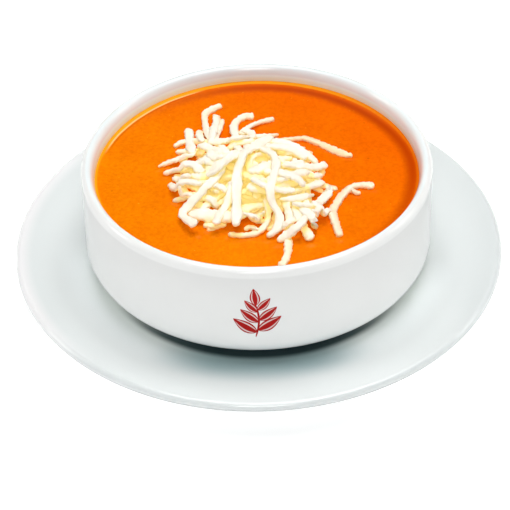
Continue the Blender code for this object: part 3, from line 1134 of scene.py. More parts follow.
@dataclass
class PrintedSprig:
    """Red sprig printed on the front of the bowl: a bowed stem and leaves in pairs.

    It is drawn on the flat as (along, up) in metres from its middle and wrapped on the wall:
    a point at arc length s stands at the angle s / radius from the front.

    Attributes:
        first_pair: Where the lowest pair of leaves leaves the stem, as a share of its length.
        pair_spread: How much farther up the highest pair leaves it.
        pair_shrink: How much smaller each pair is than the one below.
        rib_place: Where the pale line lies between the middle of a leaf and its rim.
        rib_width: Its half width there.
        rib_ends: Shares of the leaf's length between which it runs.
        relief: How far the print stands proud of the wall.
        sunk: How far its back is sunk in the glaze.
    """

    bowl: SoupBowl
    middle_along: float = -1.1 * MM
    middle_height: float = 25.2 * MM
    length: float = 15.5 * MM
    bow: float = 1.2 * MM
    stem_width: float = 0.8 * MM
    leaf_pairs: int = 3
    first_pair: float = 0.17
    pair_spread: float = 0.60
    pair_shrink: float = 0.16
    leaf_length: float = 10.4 * MM
    leaf_width: float = 4.7 * MM
    rib_place: float = 0.6
    rib_width: float = 0.09
    rib_ends: tuple[float, float] = (0.06, 0.90)
    relief: float = 0.06 * MM
    sunk: float = 0.25 * MM
    rows: int = 26
    columns: int = 29

    def stem_place(self, share: np.ndarray) -> np.ndarray:
        """Middle line of the upright stem: along = bow * (sin(pi * share) - 1 / 2)."""
        up = (share - 0.5) * self.length - 2.6 * MM
        return np.stack([self.bow * (np.sin(np.pi * share) - 0.5), up], axis=-1)

    def blade(self, start: np.ndarray, heading: float, length: float, width: float,
              curl: float) -> tuple[np.ndarray, np.ndarray]:
        """Leaf as a grid: half width = width / 2 * sin(pi * u ** 0.8), bent sideways by curl.

        Args:
            start: Where the leaf leaves the stem.
            heading: Its direction in radians.
            length: Its length.
            width: Its greatest width.
            curl: How far its tip bends aside, as a share of its length.

        Returns:
            (rows, columns, 2) places and the (rows, columns) distance from the rib, 0 to 1.
        """
        u = np.linspace(0.0, 1.0, self.rows)[:, None]
        v = np.linspace(-1.0, 1.0, self.columns)[None, :]
        half = 0.5 * width * np.sin(np.pi * u ** 0.8) ** 0.9 + 0.02 * MM
        forward = u * length + 0.0 * v
        aside = curl * length * u ** 2 + v * half
        turn = np.array([[math.cos(heading), math.sin(heading)],
                         [-math.sin(heading), math.cos(heading)]])
        flat = np.stack([forward, aside], axis=-1) @ turn + start
        return flat, np.abs(v) * np.ones_like(u)

    def ribbon(self) -> tuple[np.ndarray, np.ndarray]:
        """Stem as a grid that narrows towards both ends.

        Returns:
            (rows, columns, 2) places and a distance of 1 all over, so it has no rib.
        """
        share = np.linspace(0.0, 1.0, self.rows)
        middle = self.stem_place(share)
        along = unit(np.gradient(middle, axis=0))
        aside = np.stack([-along[:, 1], along[:, 0]], axis=-1)
        v = np.linspace(-1.0, 1.0, self.columns)[None, :, None]
        half = 0.5 * self.stem_width * (0.35 + 0.65 * np.sin(np.pi * share) ** 0.5)
        flat = middle[:, None] + v * (half[:, None] * aside)[:, None]
        return flat, np.ones((self.rows, self.columns))

    def wrapped(self, flat: np.ndarray) -> Shell:
        """Wrap a flat grid on the wall and close it with a back that is sunk in the glaze.

        The front stands proud by relief in its middle and meets the wall at its rim.

        Args:
            flat: (rows, columns, 2) places.

        Returns:
            The closed plate.
        """
        up = self.middle_height + flat[..., 1]
        wall = self.bowl.wall_radius(up)
        angle = (self.middle_along + flat[..., 0]) / wall
        u = np.linspace(0.0, 1.0, flat.shape[0])[:, None]
        v = np.linspace(-1.0, 1.0, flat.shape[1])[None, :]
        proud = self.relief * np.clip(6.0 * np.sin(np.pi * u) * (1.0 - np.abs(v)), 0.0, 1.0)
        faces = []
        for out in (proud + 0.02 * MM, np.full_like(proud, -self.sunk)):
            radius = wall + out
            faces.append(np.stack([radius * np.sin(angle), -radius * np.cos(angle),
                                   self.bowl.base + up], axis=-1))
        rings = np.concatenate([faces[0], faces[1][:, ::-1]], axis=1)[:, ::-1]
        return closed_tube(rings, rings[0].mean(axis=0), rings[-1].mean(axis=0))

    def parts(self) -> list[tuple[SprigPart, np.ndarray, np.ndarray]]:
        """The stem, the leaves in pairs and the leaf at its tip.

        Returns:
            For each part what it is, its flat grid and its distance from the rib.
        """
        upright = 0.5 * math.pi
        found = [(SprigPart.STEM, *self.ribbon())]
        for pair in range(self.leaf_pairs):
            share = self.first_pair + self.pair_spread * pair / (self.leaf_pairs - 1)
            size = 1.0 - self.pair_shrink * pair
            for side in (-1.0, 1.0):
                start = self.stem_place(np.array(share + 0.03 * side))
                heading = upright - side * math.radians(66.0 - 22.0 * share)
                found.append((SprigPart.LEAF, *self.blade(
                    start, heading, size * self.leaf_length, size * self.leaf_width,
                    0.14 * side)))
        found.append((SprigPart.LEAF, *self.blade(
            self.stem_place(np.array(0.94)), upright + 0.06, 0.74 * self.leaf_length,
            0.78 * self.leaf_width, 0.04)))
        return found

    def build(self, effects: SharedEffects) -> bpy.types.Object:
        """Build and dress the sprig.

        Args:
            effects: The shared node groups.

        Returns:
            The piece, with the attribute "rib" that is 1 on the pale line inside a leaf.
        """
        shells, ribs = [], []
        for kind, flat, distance in self.parts():
            shell = self.wrapped(flat)
            both = np.concatenate([distance, distance], axis=1)
            on_rib = np.clip(1.6 - np.abs(both - self.rib_place) / self.rib_width, 0.0, 1.0)
            share = np.linspace(0.0, 1.0, flat.shape[0])[:, None]
            from_end = np.minimum(share - self.rib_ends[0], self.rib_ends[1] - share)
            fade = np.clip(12.0 * from_end, 0.0, 1.0)
            on_rib = on_rib * fade if kind is SprigPart.LEAF else 0.0 * on_rib
            shells.append(shell)
            ribs.append(np.concatenate([on_rib.ravel(), [0.0, 0.0]]))
        piece = joined(shells).as_piece("printed_sprig", PrintFinish("red_print").material(
            effects), "red_ornament")
        put_attribute(piece, "rib", np.concatenate(ribs))
        return piece


def put_attribute(piece: bpy.types.Object, name: str, values: np.ndarray) -> None:
    """Store one number for each vertex of a piece's mesh.

    Args:
        piece: The piece.
        name: Name of the attribute.
        values: As many numbers as there are vertices.
    """
    layer = piece.data.attributes.new(name, "FLOAT", "POINT")
    layer.data.foreach_set("value", np.asarray(values, dtype=np.float32))


# ---------------------------------------------------------------- grated cheese

class Tip(Enum):
    """How a shred ends: its narrowest share of the width, and the taper's length in widths."""

    BLUNT = (0.86, 0.8)
    ROUND = (0.68, 1.5)
    POINTED = (0.3, 3.0)


@dataclass(frozen=True)
class Shred:
    """One shred of cheese.

    Attributes:
        width: Its width in millimetres.
        points: Its middle line as x, y and least height above the soup, in millimetres.
        tip: How it ends.
    """

    width: float
    points: tuple[tuple[float, float, float], ...]
    tip: Tip = Tip.ROUND


LEFT_FAN = (
    Shred(2.4, ((-32, 16, 0.9), (-28.5, 18.5, 1.2), (-23, 18, 1.8), (-17, 16, 2.4))),
    Shred(2.8, ((-31, 12.5, 0.9), (-26, 11.5, 1.8), (-20, 9, 3))),
    Shred(2.4, ((-31, 8.5, 0.8), (-26.5, 9.5, 1.6), (-22, 12, 2.4)), Tip.POINTED),
    Shred(4.4, ((-25, 0.5, 1.2), (-20, 1.5, 1.8), (-15, -1, 2.8), (-11, -4, 4.4))),
    Shred(3.6, ((-25, -5.5, 1.2), (-20, -7.3, 2.2), (-15.4, -5.7, 3.4), (-10.8, -3.4, 4.6))),
    Shred(2.7, ((-13.5, 43.5, 1), (-17.5, 40.5, 1), (-20, 37.5, 1), (-20, 32, 1),
                (-19, 23, 2.5), (-17, 14, 4)), Tip.BLUNT),
    Shred(2.4, ((-13, 33.5, 1), (-14, 27.5, 1.4), (-15.5, 20, 3), (-15, 12, 4.5))),
    Shred(3.1, ((-15.5, 36.5, 1), (-15.5, 31, 1.4), (-16.5, 23, 3), (-17, 13, 5)), Tip.BLUNT),
    Shred(3.0, ((-22, 26, 1), (-22, 21, 2), (-20.5, 15, 3.6))),
    Shred(3.5, ((-26.5, 27.5, 1), (-26, 22, 1.8), (-25.5, 14, 3), (-24, 6, 4.5))),
    Shred(2.9, ((-37.7, 3.2, 0.9), (-33.2, 5.7, 1.3), (-28.1, 6.5, 2.4),
                (-23.1, 6.7, 4)), Tip.POINTED),
    Shred(3.2, ((-35.6, -1.4, 0.9), (-31.1, 0.3, 1.4), (-26.1, 0.4, 2.6), (-22.6, -1.7, 3.6),
                (-19.9, -6, 4.4))),
    Shred(2.6, ((-31, -4.5, 0.8), (-27.9, -6, 1.6), (-24.4, -7.2, 2.6)), Tip.BLUNT),
    Shred(2.8, ((-33.2, -7.7, 0.9), (-30.1, -10.7, 1.1), (-25.1, -11.9, 2.4),
                (-20.2, -13, 4.5))),
    Shred(1.8, ((-28.9, -14.4, 0.7), (-25.9, -15.2, 1.2), (-22.4, -18.1, 2.4)), Tip.POINTED),
    Shred(3.4, ((-19.2, 4.6, 4), (-16.1, 1.2, 5), (-11.9, -2.8, 6))),
)
BACK_FAN = (
    Shred(2.6, ((9, 22.5, 0.9), (3.5, 20.5, 1.6), (-3, 18.5, 3)), Tip.POINTED),
    Shred(2.4, ((7.5, 33.2, 1), (2, 31.2, 1), (-2.5, 26.5, 2.2), (-6, 19, 4)), Tip.BLUNT),
    Shred(3.1, ((-0.5, 35, 1), (-4.5, 35, 1), (-8, 30.5, 1.2), (-8.5, 23, 2.8),
                (-7, 13.5, 5)), Tip.BLUNT),
    Shred(2.5, ((-18.5, 15.5, 2.4), (-14, 15.5, 3.2), (-8, 16.2, 4),
                (-3.5, 17.5, 3.6)), Tip.BLUNT),
    Shred(2.8, ((-5.5, 24, 2.4), (-2, 19.5, 4), (-1, 14.5, 5))),
    Shred(1.7, ((19, 10.8, 2.6), (14, 9.4, 3.6), (7.5, 9.5, 4.6)), Tip.POINTED),
    Shred(2.4, ((24.5, -5.5, 1.6), (21, -8, 3.2), (16, -9.5, 5))),
)
FRONT_HANG = (
    Shred(2.6, ((-20, -33, 0.9), (-15.5, -34, 1), (-11.5, -33, 1.1))),
    Shred(5.0, ((-24.5, -26.5, 1.3), (-18, -28.8, 1.9), (-10.2, -31.2, 3),
                (-4, -30.5, 4)), Tip.BLUNT),
    Shred(3.0, ((-9.2, -18, 9), (-9.8, -23.5, 7.6), (-11.5, -27.7, 5.6), (-13.8, -30.2, 3.2),
                (-15.5, -33.2, 1.2)), Tip.BLUNT),
    Shred(3.2, ((-9, -1, 7.5), (-13, -8, 7), (-17.5, -14, 5.5), (-21.5, -18.5, 3.6),
                (-26, -23, 1.6), (-27.6, -26, 1.1), (-26, -29.5, 1.1),
                (-22.3, -33.2, 1.2)), Tip.BLUNT),
    Shred(2.2, ((-11, -38.6, 0.9), (-6, -39.6, 0.9), (-1, -38.6, 1), (2.6, -35.2, 1.8),
                (4, -31, 3.6), (3, -25.5, 7))),
    Shred(1.9, ((-5, -37.3, 1.6), (-3, -36.2, 2), (0, -37.6, 1.7))),
    Shred(2.4, ((-5.5, -30.5, 2), (-1, -31.5, 2.2), (2.5, -29.5, 3.4)), Tip.POINTED),
    Shred(3.0, ((10.2, -27, 7), (11, -31.5, 5.4), (11.5, -36, 3.2),
                (10.2, -39, 1.4)), Tip.BLUNT),
    Shred(2.4, ((8, -36.5, 1), (10.5, -34.5, 2.2), (14, -33.5, 3.4))),
    Shred(3.5, ((13.8, -25.5, 6.5), (14.3, -31, 5.2), (15.5, -36, 3.6), (17.5, -40, 2),
                (19, -43.6, 1.3)), Tip.BLUNT),
    Shred(3.3, ((17.5, -26, 6), (18, -31.5, 4.6), (15.5, -36.5, 3.6), (11.5, -40, 2),
                (6.8, -43.6, 1.1))),
    Shred(3.0, ((20.8, -36, 1.2), (18.5, -32, 3), (15.5, -28.5, 5.2))),
    Shred(2.7, ((23.8, -27, 2), (19, -27.5, 4.4), (12.5, -28.5, 6.4))),
    Shred(2.6, ((21, -20.5, 4), (14, -25.5, 6.4), (8, -27.5, 7.6)), Tip.POINTED),
    Shred(3.0, ((25, -12, 3.2), (18.5, -18.5, 6), (11, -24.5, 8))),
    Shred(3.3, ((26.2, -13.4, 2.4), (26.4, -17.5, 2.6), (23.6, -23, 3.2),
                (20.5, -27.5, 4)), Tip.BLUNT),
    Shred(2.4, ((27.2, -25.6, 0.9), (23, -28.4, 1.4), (19.5, -32, 2.3))),
)
CROWN = (
    Shred(6.4, ((-4, -21, 8.6), (1.8, -21.6, 9.2), (9, -19.6, 9), (15.5, -16, 7.4))),
    Shred(5.6, ((-3.5, -10, 7.6), (0.5, -9.9, 8.2), (4.5, -7.5, 7.8), (8, -3.5, 6.6))),
    Shred(5.0, ((3, -18.5, 9), (9.3, -15.9, 8.8), (15.3, -11.7, 7.4), (19, -8, 5.4))),
    Shred(3.6, ((-22, 13.5, 3.2), (-18.5, 9.8, 4.5), (-15.8, 6.3, 5.5), (-10, 2.1, 6.5),
                (-3.6, -2.1, 8))),
    Shred(3.4, ((-19, -10, 6), (-13.5, -8, 8), (-8, -3.5, 9), (-3, 3, 8))),
    Shred(3.4, ((3.5, 12.8, 4.2), (9, 11.6, 4.8), (15, 8, 4.8), (20.5, 3.2, 3.6),
                (23, 0.5, 2.6))),
    Shred(2.8, ((2.5, 6, 7.4), (8, 5, 7.8), (14, 3.5, 6.8), (19, 0.5, 5))),
    Shred(3.4, ((26, 0, 2.2), (22, -3.6, 4), (16, -6.4, 6.6), (9, -8.5, 8.8))),
    Shred(3.0, ((-2, -18, 10.4), (2.5, -21.5, 9.8), (8, -23, 8.6), (14, -21.5, 7))),
    Shred(4.2, ((2.6, -13, 9.6), (8, -13.6, 9.4), (14, -15.4, 8.4), (17.5, -18.2, 6.4))),
    Shred(3.2, ((1, 4, 7.6), (4.4, 1.2, 8.6), (6.8, -4, 9.6), (7.2, -11, 10.4),
                (5.8, -18, 10.2), (4.6, -24.5, 9), (5.6, -29.5, 7.4), (7.8, -33.6, 5),
                (7, -37.4, 2.2), (3, -41, 1.1))),
    Shred(3.8, ((6, 17.2, 1.8), (1.8, 10, 5), (-2.4, 3, 7.6), (-5.4, -5, 9.4),
                (-7.2, -13, 10.2), (-7.6, -21, 9), (-7.6, -29, 5.8), (-8, -36.6, 1.4))),
)
LOOSE_SHREDS = {
    "loose_shred_back": (
        Shred(2.9, ((4, 16.5, 1.2), (10, 18.5, 0.9), (17.5, 19.7, 0.8), (20, 19.2, 0.8),
                    (25, 15.5, 0.8), (31, 10.5, 0.7), (35, 8, 0.7), (37, 8, 0.7))),),
    "loose_shred_right": (
        Shred(3.2, ((44, -12.5, 1), (40, -11.5, 1), (35.5, -12.5, 1), (31.5, -17.5, 1),
                    (29, -23, 1), (27.5, -27, 1), (28, -32.5, 1), (29, -39, 1),
                    (29.5, -41.5, 1)), Tip.BLUNT),
        Shred(2.0, ((34.5, -13.5, 1), (36.5, -15.5, 0.9), (38.5, -16.5, 0.8)))),
    "loose_shred_front": (
        Shred(2.9, ((11, -41.8, 1.1), (10.6, -46.5, 1), (10.2, -51, 1), (9, -55, 1),
                    (7.2, -57.6, 1.1))),),
}
LOOSE_SOAKING: dict[str, float] = {"loose_shred_back": 5.5, "loose_shred_right": 4.0,
                                   "loose_shred_front": 3.6}


@dataclass
class Pile:
    """Height map of all that lies in the bowl, in millimetres above the soup.

    Attributes:
        low: Lowest x and y of the map.
        size: Its width and depth.
        cell: Distance between its points.
    """

    low: tuple[float, float] = (-46.0, -62.0)
    size: tuple[float, float] = (98.0, 116.0)
    cell: float = 0.5
    sink: float = 0.45
    heights: np.ndarray = field(init=False)

    def __post_init__(self) -> None:
        """Start with the bare soup, into which a shred sinks a little."""
        across = int(self.size[0] / self.cell)
        deep = int(self.size[1] / self.cell)
        self.x = self.low[0] + self.cell * np.arange(across)
        self.y = self.low[1] + self.cell * np.arange(deep)
        self.heights = np.full((across, deep), -self.sink)

    def cells(self, places: np.ndarray) -> tuple[np.ndarray, np.ndarray]:
        """Map indices of places, held inside the map."""
        across = np.clip(np.rint((places[..., 0] - self.low[0]) / self.cell).astype(int),
                         0, len(self.x) - 1)
        deep = np.clip(np.rint((places[..., 1] - self.low[1]) / self.cell).astype(int),
                       0, len(self.y) - 1)
        return across, deep

    def under(self, places: np.ndarray, reach: float) -> np.ndarray:
        """Highest point of the pile under each place, within reach of it.

        Args:
            places: (n, 2) places.
            reach: Radius that is looked at.

        Returns:
            n heights.
        """
        spots = places[:, None] + np.vstack([[0.0, 0.0], reach * compass(8)])[None]
        return self.heights[self.cells(spots)].max(axis=1)

    def add(self, route: np.ndarray, width: float, thickness: float) -> None:
        """Raise the map to the top of a round-topped shred.

        The top over a cell is middle + thickness / 2 * sqrt(1 - (distance / half width)^2).

        Args:
            route: (n, 3) middle line.
            width: Width of the shred.
            thickness: Its thickness.
        """
        half = 0.5 * width
        first = self.cells(route[:, :2].min(axis=0) - half)
        last = self.cells(route[:, :2].max(axis=0) + half)
        window = (slice(int(first[0]), int(last[0]) + 1), slice(int(first[1]), int(last[1]) + 1))
        gx, gy = np.meshgrid(self.x[window[0]], self.y[window[1]], indexing="ij")
        distance = np.hypot(gx[..., None] - route[:, 0], gy[..., None] - route[:, 1])
        nearest = distance.argmin(axis=-1)
        share = np.minimum(distance.min(axis=-1) / half, 1.0)
        top = route[nearest, 2] + 0.5 * thickness * np.sqrt(1.0 - share ** 2)
        top = np.where(share < 1.0, top, -np.inf)
        self.heights[window] = np.maximum(self.heights[window], top)

    def hidden_sky(self, places: np.ndarray) -> np.ndarray:
        """Share of the sky that the pile hides from each place.

        In each of 12 directions it is the sine of the steepest rise to the pile's top within
        6 mm.  A place that lies more than a shred deep under the top sees nothing.

        Args:
            places: (n, 3) places, their height in millimetres above the soup.

        Returns:
            n shares from 0 to 1.
        """
        headings = compass(12)
        steepest = np.zeros((len(places), len(headings)))
        for distance in (0.9, 1.6, 2.6, 4.0, 6.0):
            spots = places[:, None, :2] + distance * headings[None]
            rise = self.heights[self.cells(spots)] - places[:, None, 2]
            steepest = np.maximum(steepest, rise / np.hypot(rise, distance))
        over = self.heights[self.cells(places)] - places[:, 2]
        return np.maximum(steepest.mean(axis=1), np.clip(over / 1.8, 0.0, 1.0))


@dataclass
class GratedCheese:
    """The heap of shreds over its core, and the shreds that lie loose on the soup.

    Attributes:
        soup_top: Height of the soup.
        centre: Middle of the heap in millimetres.
        radius: Its radius.
        stretch: Its width against its depth.
        core_share: Size of the core against the heap.
        core_height: Height of the core above the soup.
        filling_height: Height of the dome that the filling stays under.
        fullness: 0.5 makes half an ellipsoid, 1 a parabola.
        filling: Number of shreds wanted at random.
        patience: Tries for each of them, after which the filling ends.
        filling_spread: Share of the heap's radius that they are dropped in.
        filling_bends: How much a random shred bends, and how much it waves, in radians.
        settling: Share of its thickness that a laid and a dropped shred may sink into others.
        smoothing: Rounds of smoothing of a laid and of a dropped shred.
        slide: How far a shred moves to the front for each millimetre that it is lifted.
        furthest_slide: The most that it moves, in millimetres.
        swellings: How much a shred swells along its length, and how often.
        raggedness: How uneven its section is, how often along it and how often round it.
        soaked_height: Height over the soup at which the heap's soaking ends.
        seed: Seed of all chance.
    """

    soup_top: float
    centre: tuple[float, float] = (-2.5, -8.0)
    radius: float = 25.0
    stretch: float = 1.08
    core_share: float = 0.8
    core_height: float = 4.6
    filling_height: float = 9.2
    fullness: float = 0.75
    filling: int = 135
    patience: int = 20
    filling_spread: float = 0.92
    filling_bends: tuple[float, float] = (0.8, 0.3)
    filling_length: tuple[float, float] = (13.0, 30.0)
    filling_width: tuple[float, float] = (2.2, 3.8)
    settling: tuple[float, float] = (0.45, 0.08)
    smoothing: tuple[int, int] = (5, 14)
    slide: float = 1.355
    furthest_slide: float = 4.0
    swellings: tuple[tuple[float, float], ...] = ((0.10, 0.42), (0.08, 1.5))
    raggedness: tuple[tuple[float, float, float], ...] = ((0.08, 2.4, 2.0), (0.06, 3.7, -3.0))
    seed: int = 21
    rings: int = 40
    sides: int = 12
    squareness: float = 3.0
    soaked_height: float = 3.2

    def __post_init__(self) -> None:
        """Start the chance and the pile."""
        self.chance = np.random.default_rng(self.seed)
        self.pile = Pile()
        self.routes: list[tuple[np.ndarray, float, Tip]] = []

    def dome(self, x: np.ndarray, y: np.ndarray, radius: float, height: float) -> np.ndarray:
        """Height of a dome over the soup: height * (1 - (distance / radius)^2)^fullness."""
        share = np.hypot((x - self.centre[0]) / self.stretch, y - self.centre[1]) / radius
        return height * np.clip(1.0 - share ** 2, 0.0, 1.0) ** self.fullness

    def core(self, effects: SharedEffects) -> bpy.types.Object:
        """The core: a dome with rippled relief, hidden by the shreds.

        Args:
            effects: The shared node groups.

        Returns:
            The piece.
        """
        rows, columns = 40, 96
        share = np.linspace(1.0, 0.0, rows, endpoint=False)[:, None]
        angle = np.linspace(0.0, 2.0 * np.pi, columns, endpoint=False)[None, :]
        radius = self.core_share * self.radius
        x = self.centre[0] + self.stretch * radius * share * np.cos(angle)
        y = self.centre[1] + radius * share * np.sin(angle)
        ripple = 0.5 * np.sin(1.9 * x + 2.0 * np.sin(0.7 * y)) * np.sin(1.3 * y + np.sin(0.9 * x))
        z = self.dome(x, y, radius, self.core_height) + ripple * (1.0 - share ** 4)
        rings = np.stack([x, y, z - 0.3], axis=-1)
        shell = closed_tube(rings, np.array([*self.centre, -0.3]),
                            np.array([*self.centre, rings[-1, :, 2].mean()]))
        shell.points = shell.points * MM + np.array([0.0, 0.0, self.soup_top])
        piece = shell.as_piece("cheese_core", CheeseFinish("buried_cheese").material(effects),
                               "cheese")
        # The whole core gets full painted shade and painted glow.
        put_attribute(piece, "crevice_shade", np.ones(len(shell.points)))
        put_attribute(piece, "wet", np.zeros(len(shell.points)))
        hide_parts("grated_cheese_heap")
        gx, gy = np.meshgrid(self.pile.x, self.pile.y, indexing="ij")
        dome = self.dome(gx, gy, radius, self.core_height)
        self.pile.heights = np.where(dome > 0.0, np.maximum(dome, self.pile.heights),
                                     self.pile.heights)
        return piece

    @staticmethod
    def thickness(width: float) -> float:
        """Thickness of a shred in millimetres: a wide one is flatter."""
        return 1.05 + 0.27 * width

    def bridged(self, flat: np.ndarray, width: float, least: np.ndarray | float,
                sink: float, rounds: int) -> np.ndarray:
        """Heights of a stiff shred's middle line that bridges from top to top of the pile.

        The line starts at the height of what is under it.  It is smoothed and raised back to
        at least that height several times.

        Args:
            flat: (n, 2) middle line.
            width: Width of the shred.
            least: Height that it keeps in any case.
            sink: Share of its thickness by which it may sink into what is under it.
            rounds: Rounds of smoothing.

        Returns:
            n heights.
        """
        lift = (0.5 - sink) * self.thickness(width)
        support = np.maximum(self.pile.under(flat, 0.33 * width) + lift, least)
        middle = support.copy()
        kernel = np.hanning(9)[1:-1] / np.hanning(9)[1:-1].sum()
        for _ in range(rounds):
            padded = np.pad(middle, 3, mode="reflect", reflect_type="odd")
            middle = np.maximum(support, np.convolve(padded, kernel, mode="valid"))
        return middle

    def lay(self, shred: Shred) -> None:
        """Put a shred of known route on the pile.

        Where the pile lifts it above its least height it slides to the front, which keeps its
        place in a view from 36 degrees above.

        Args:
            shred: The shred.
        """
        route = smooth_route(np.array(shred.points, dtype=float), self.rings)
        flat = route[:, :2].copy()
        for _ in range(3):
            middle = self.bridged(flat, shred.width, route[:, 2], self.settling[0],
                                  self.smoothing[0])
            lifted = np.convolve(np.pad(middle - route[:, 2], 3, mode="edge"), np.full(7, 1 / 7),
                                 mode="valid")
            flat[:, 1] = route[:, 1] - np.minimum(self.slide * lifted,
                                                     self.furthest_slide)
        self.keep(np.column_stack([flat, middle]), shred.width, shred.tip)

    def keep(self, route: np.ndarray, width: float, tip: Tip) -> None:
        """Remember a shred's route and raise the pile by it."""
        self.pile.add(route, width, self.thickness(width))
        self.routes.append((route, width, tip))

    def drop(self) -> None:
        """Drop a bent shred at random, and keep it if it lies inside the heap's outline."""
        chance = self.chance
        width = chance.uniform(*self.filling_width)
        length = chance.uniform(*self.filling_length)
        distance = self.radius * self.filling_spread * math.sqrt(chance.uniform())
        place = chance.uniform(0.0, 2.0 * math.pi)
        heading = chance.uniform(0.0, 2.0 * math.pi)
        bend, wave = (chance.normal(0.0, spread) for spread in self.filling_bends)
        share = np.linspace(-0.5, 0.5, self.rings)
        turn = heading + bend * share + wave * np.sin(2.0 * np.pi * share)
        steps = length / self.rings * np.stack([np.cos(turn), np.sin(turn)], axis=-1)
        flat = np.cumsum(steps, axis=0)
        flat += np.array([self.centre[0] + self.stretch * distance * math.cos(place),
                          self.centre[1] + distance * math.sin(place)]) - flat.mean(axis=0)
        middle = self.bridged(flat, width, -np.inf, self.settling[1], self.smoothing[1])
        limit = self.dome(flat[:, 0], flat[:, 1], 1.12 * self.radius, self.filling_height)
        if np.all(middle <= np.maximum(limit, 1.6) + 0.3):
            self.keep(np.column_stack([flat, middle]), width, Tip.ROUND)

    def tube(self, route: np.ndarray, width: float, tip: Tip) -> Shell:
        """Sweep a rounded rectangle along a route, with slow twist and uneven size.

        The section is (half width * c |c|^(2/p - 1), half thickness * s |s|^(2/p - 1)) with
        c and s the cosine and sine of the angle and p the squareness.  Towards an end it
        narrows as the tip says, and closes round within a third of a width.

        Args:
            route: (n, 3) middle line in millimetres above the soup.
            width: Width of the shred.
            tip: How it ends.

        Returns:
            The closed shell in metres.
        """
        chance = self.chance
        along = unit(np.gradient(route, axis=0))
        side = unit(np.cross(along, (0.0, 0.0, 1.0)))
        down = np.cross(along, side)
        travelled = np.concatenate([[0.0], np.cumsum(np.linalg.norm(np.diff(route, axis=0),
                                                                    axis=1))])
        from_tip = np.minimum(travelled, travelled[-1] - travelled)[1:-1]
        narrowest, reach = tip.value
        closing = np.sqrt(1.0 - (1.0 - np.minimum(from_tip / (0.33 * width), 1.0)) ** 2)
        rise = np.minimum(from_tip / (reach * width), 1.0)
        slender = narrowest + (1.0 - narrowest) * np.sin(0.5 * np.pi * rise)
        phase = chance.uniform(0.0, 2.0 * math.pi, 5)
        s = travelled[1:-1]
        swelling = sum((size * np.sin(often * s + turn)
                        for (size, often), turn in zip(self.swellings, phase)), start=1.0)
        twist = chance.uniform(0.3, 0.6) * np.sin(0.17 * s + phase[2])
        angle = np.linspace(0.0, 2.0 * np.pi, self.sides, endpoint=False)
        power = 2.0 / self.squareness
        c = np.sign(np.cos(angle)) * np.abs(np.cos(angle)) ** power
        d = np.sign(np.sin(angle)) * np.abs(np.sin(angle)) ** power
        ragged = sum((size * np.sin(often * s[:, None] + around * angle + turn)
                      for (size, often, around), turn in zip(self.raggedness, phase[3:])),
                     start=1.0)
        wide = 0.5 * width * c * (closing * swelling * slender)[:, None] * ragged
        thick = 0.5 * self.thickness(width) * d * (closing * np.sqrt(slender))[:, None] * ragged
        turned = (np.cos(twist)[:, None] * wide - np.sin(twist)[:, None] * thick)[..., None]
        lifted = (np.sin(twist)[:, None] * wide + np.cos(twist)[:, None] * thick)[..., None]
        rings = route[1:-1, None] + turned * side[1:-1, None] + lifted * down[1:-1, None]
        shell = closed_tube(rings, route[0], route[-1])
        shell.points = shell.points * MM + np.array([0.0, 0.0, self.soup_top])
        return shell

    def shaded(self, piece: bpy.types.Object, shell: Shell, soaked_height: float) -> None:
        """Store on a piece how far each vertex is closed in, which the cheese shows as painted
        shade, and how near it is to the soup.

        A flank counts as closed in by 0.75 * (0.5 - the upward part of its normal), which
        paints shade on the sides that face down.

        Args:
            piece: The piece.
            shell: The shell that it was made from.
            soaked_height: Height over the soup at which the soaking ends, in millimetres.
        """
        places = (shell.points - np.array([0.0, 0.0, self.soup_top])) / MM
        normals = np.empty(3 * len(places), dtype=np.float32)
        piece.data.vertex_normals.foreach_get("vector", normals)
        downward_shade = 0.75 * np.clip(0.5 - normals[2::3], 0.0, 1.0)
        put_attribute(piece, "crevice_shade", np.maximum(self.pile.hidden_sky(places), downward_shade))
        put_attribute(piece, "wet", np.clip(1.0 - places[:, 2] / soaked_height, 0.0, 1.0))

    def build(self, effects: SharedEffects) -> list[bpy.types.Object]:
        """Build and dress the core, the heap and the loose shreds.

        Args:
            effects: The shared node groups.

        Returns:
            The pieces.
        """
        pieces = [self.core(effects)]
        tries = 0
        while len(self.routes) < self.filling and tries < self.patience * self.filling:
            self.drop()
            tries += 1
        log.info("%d shreds of filling after %d tries", len(self.routes), tries)
        for shred in (*LEFT_FAN, *BACK_FAN, *FRONT_HANG, *CROWN):
            self.lay(shred)
        material = CheeseFinish("grated_cheese").material(effects)
        log.info("the heap's highest shred reaches %.1f mm over the soup",
                 self.pile.heights.max())
        heap = joined([self.tube(*route) for route in self.routes])
        piece = heap.as_piece("grated_cheese_shreds", material, "cheese")
        self.shaded(piece, heap, self.soaked_height)
        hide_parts("grated_cheese_heap")
        pieces.append(piece)
        for node, shreds in LOOSE_SHREDS.items():
            pieces.append(self.loose(node, shreds, material))
        return pieces

    def loose(self, node: str, shreds: tuple[Shred, ...],
              material: bpy.types.Material) -> bpy.types.Object:
        """One loose shred, which may have a stub on its side.

        Args:
            node: The CAD node that it stands for.
            shreds: Its routes.
            material: Its finish.

        Returns:
            The piece.
        """
        tubes = []
        for shred in shreds:
            route = smooth_route(np.array(shred.points, dtype=float), 2 * self.rings)
            self.pile.add(route, shred.width, self.thickness(shred.width))
            tubes.append(self.tube(route, shred.width, shred.tip))
        shell = joined(tubes)
        piece = shell.as_piece(f"{node}_grated", material, "cheese")
        self.shaded(piece, shell, LOOSE_SOAKING[node])
        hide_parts(node)
        return piece


# ---------------------------------------------------------------- soup

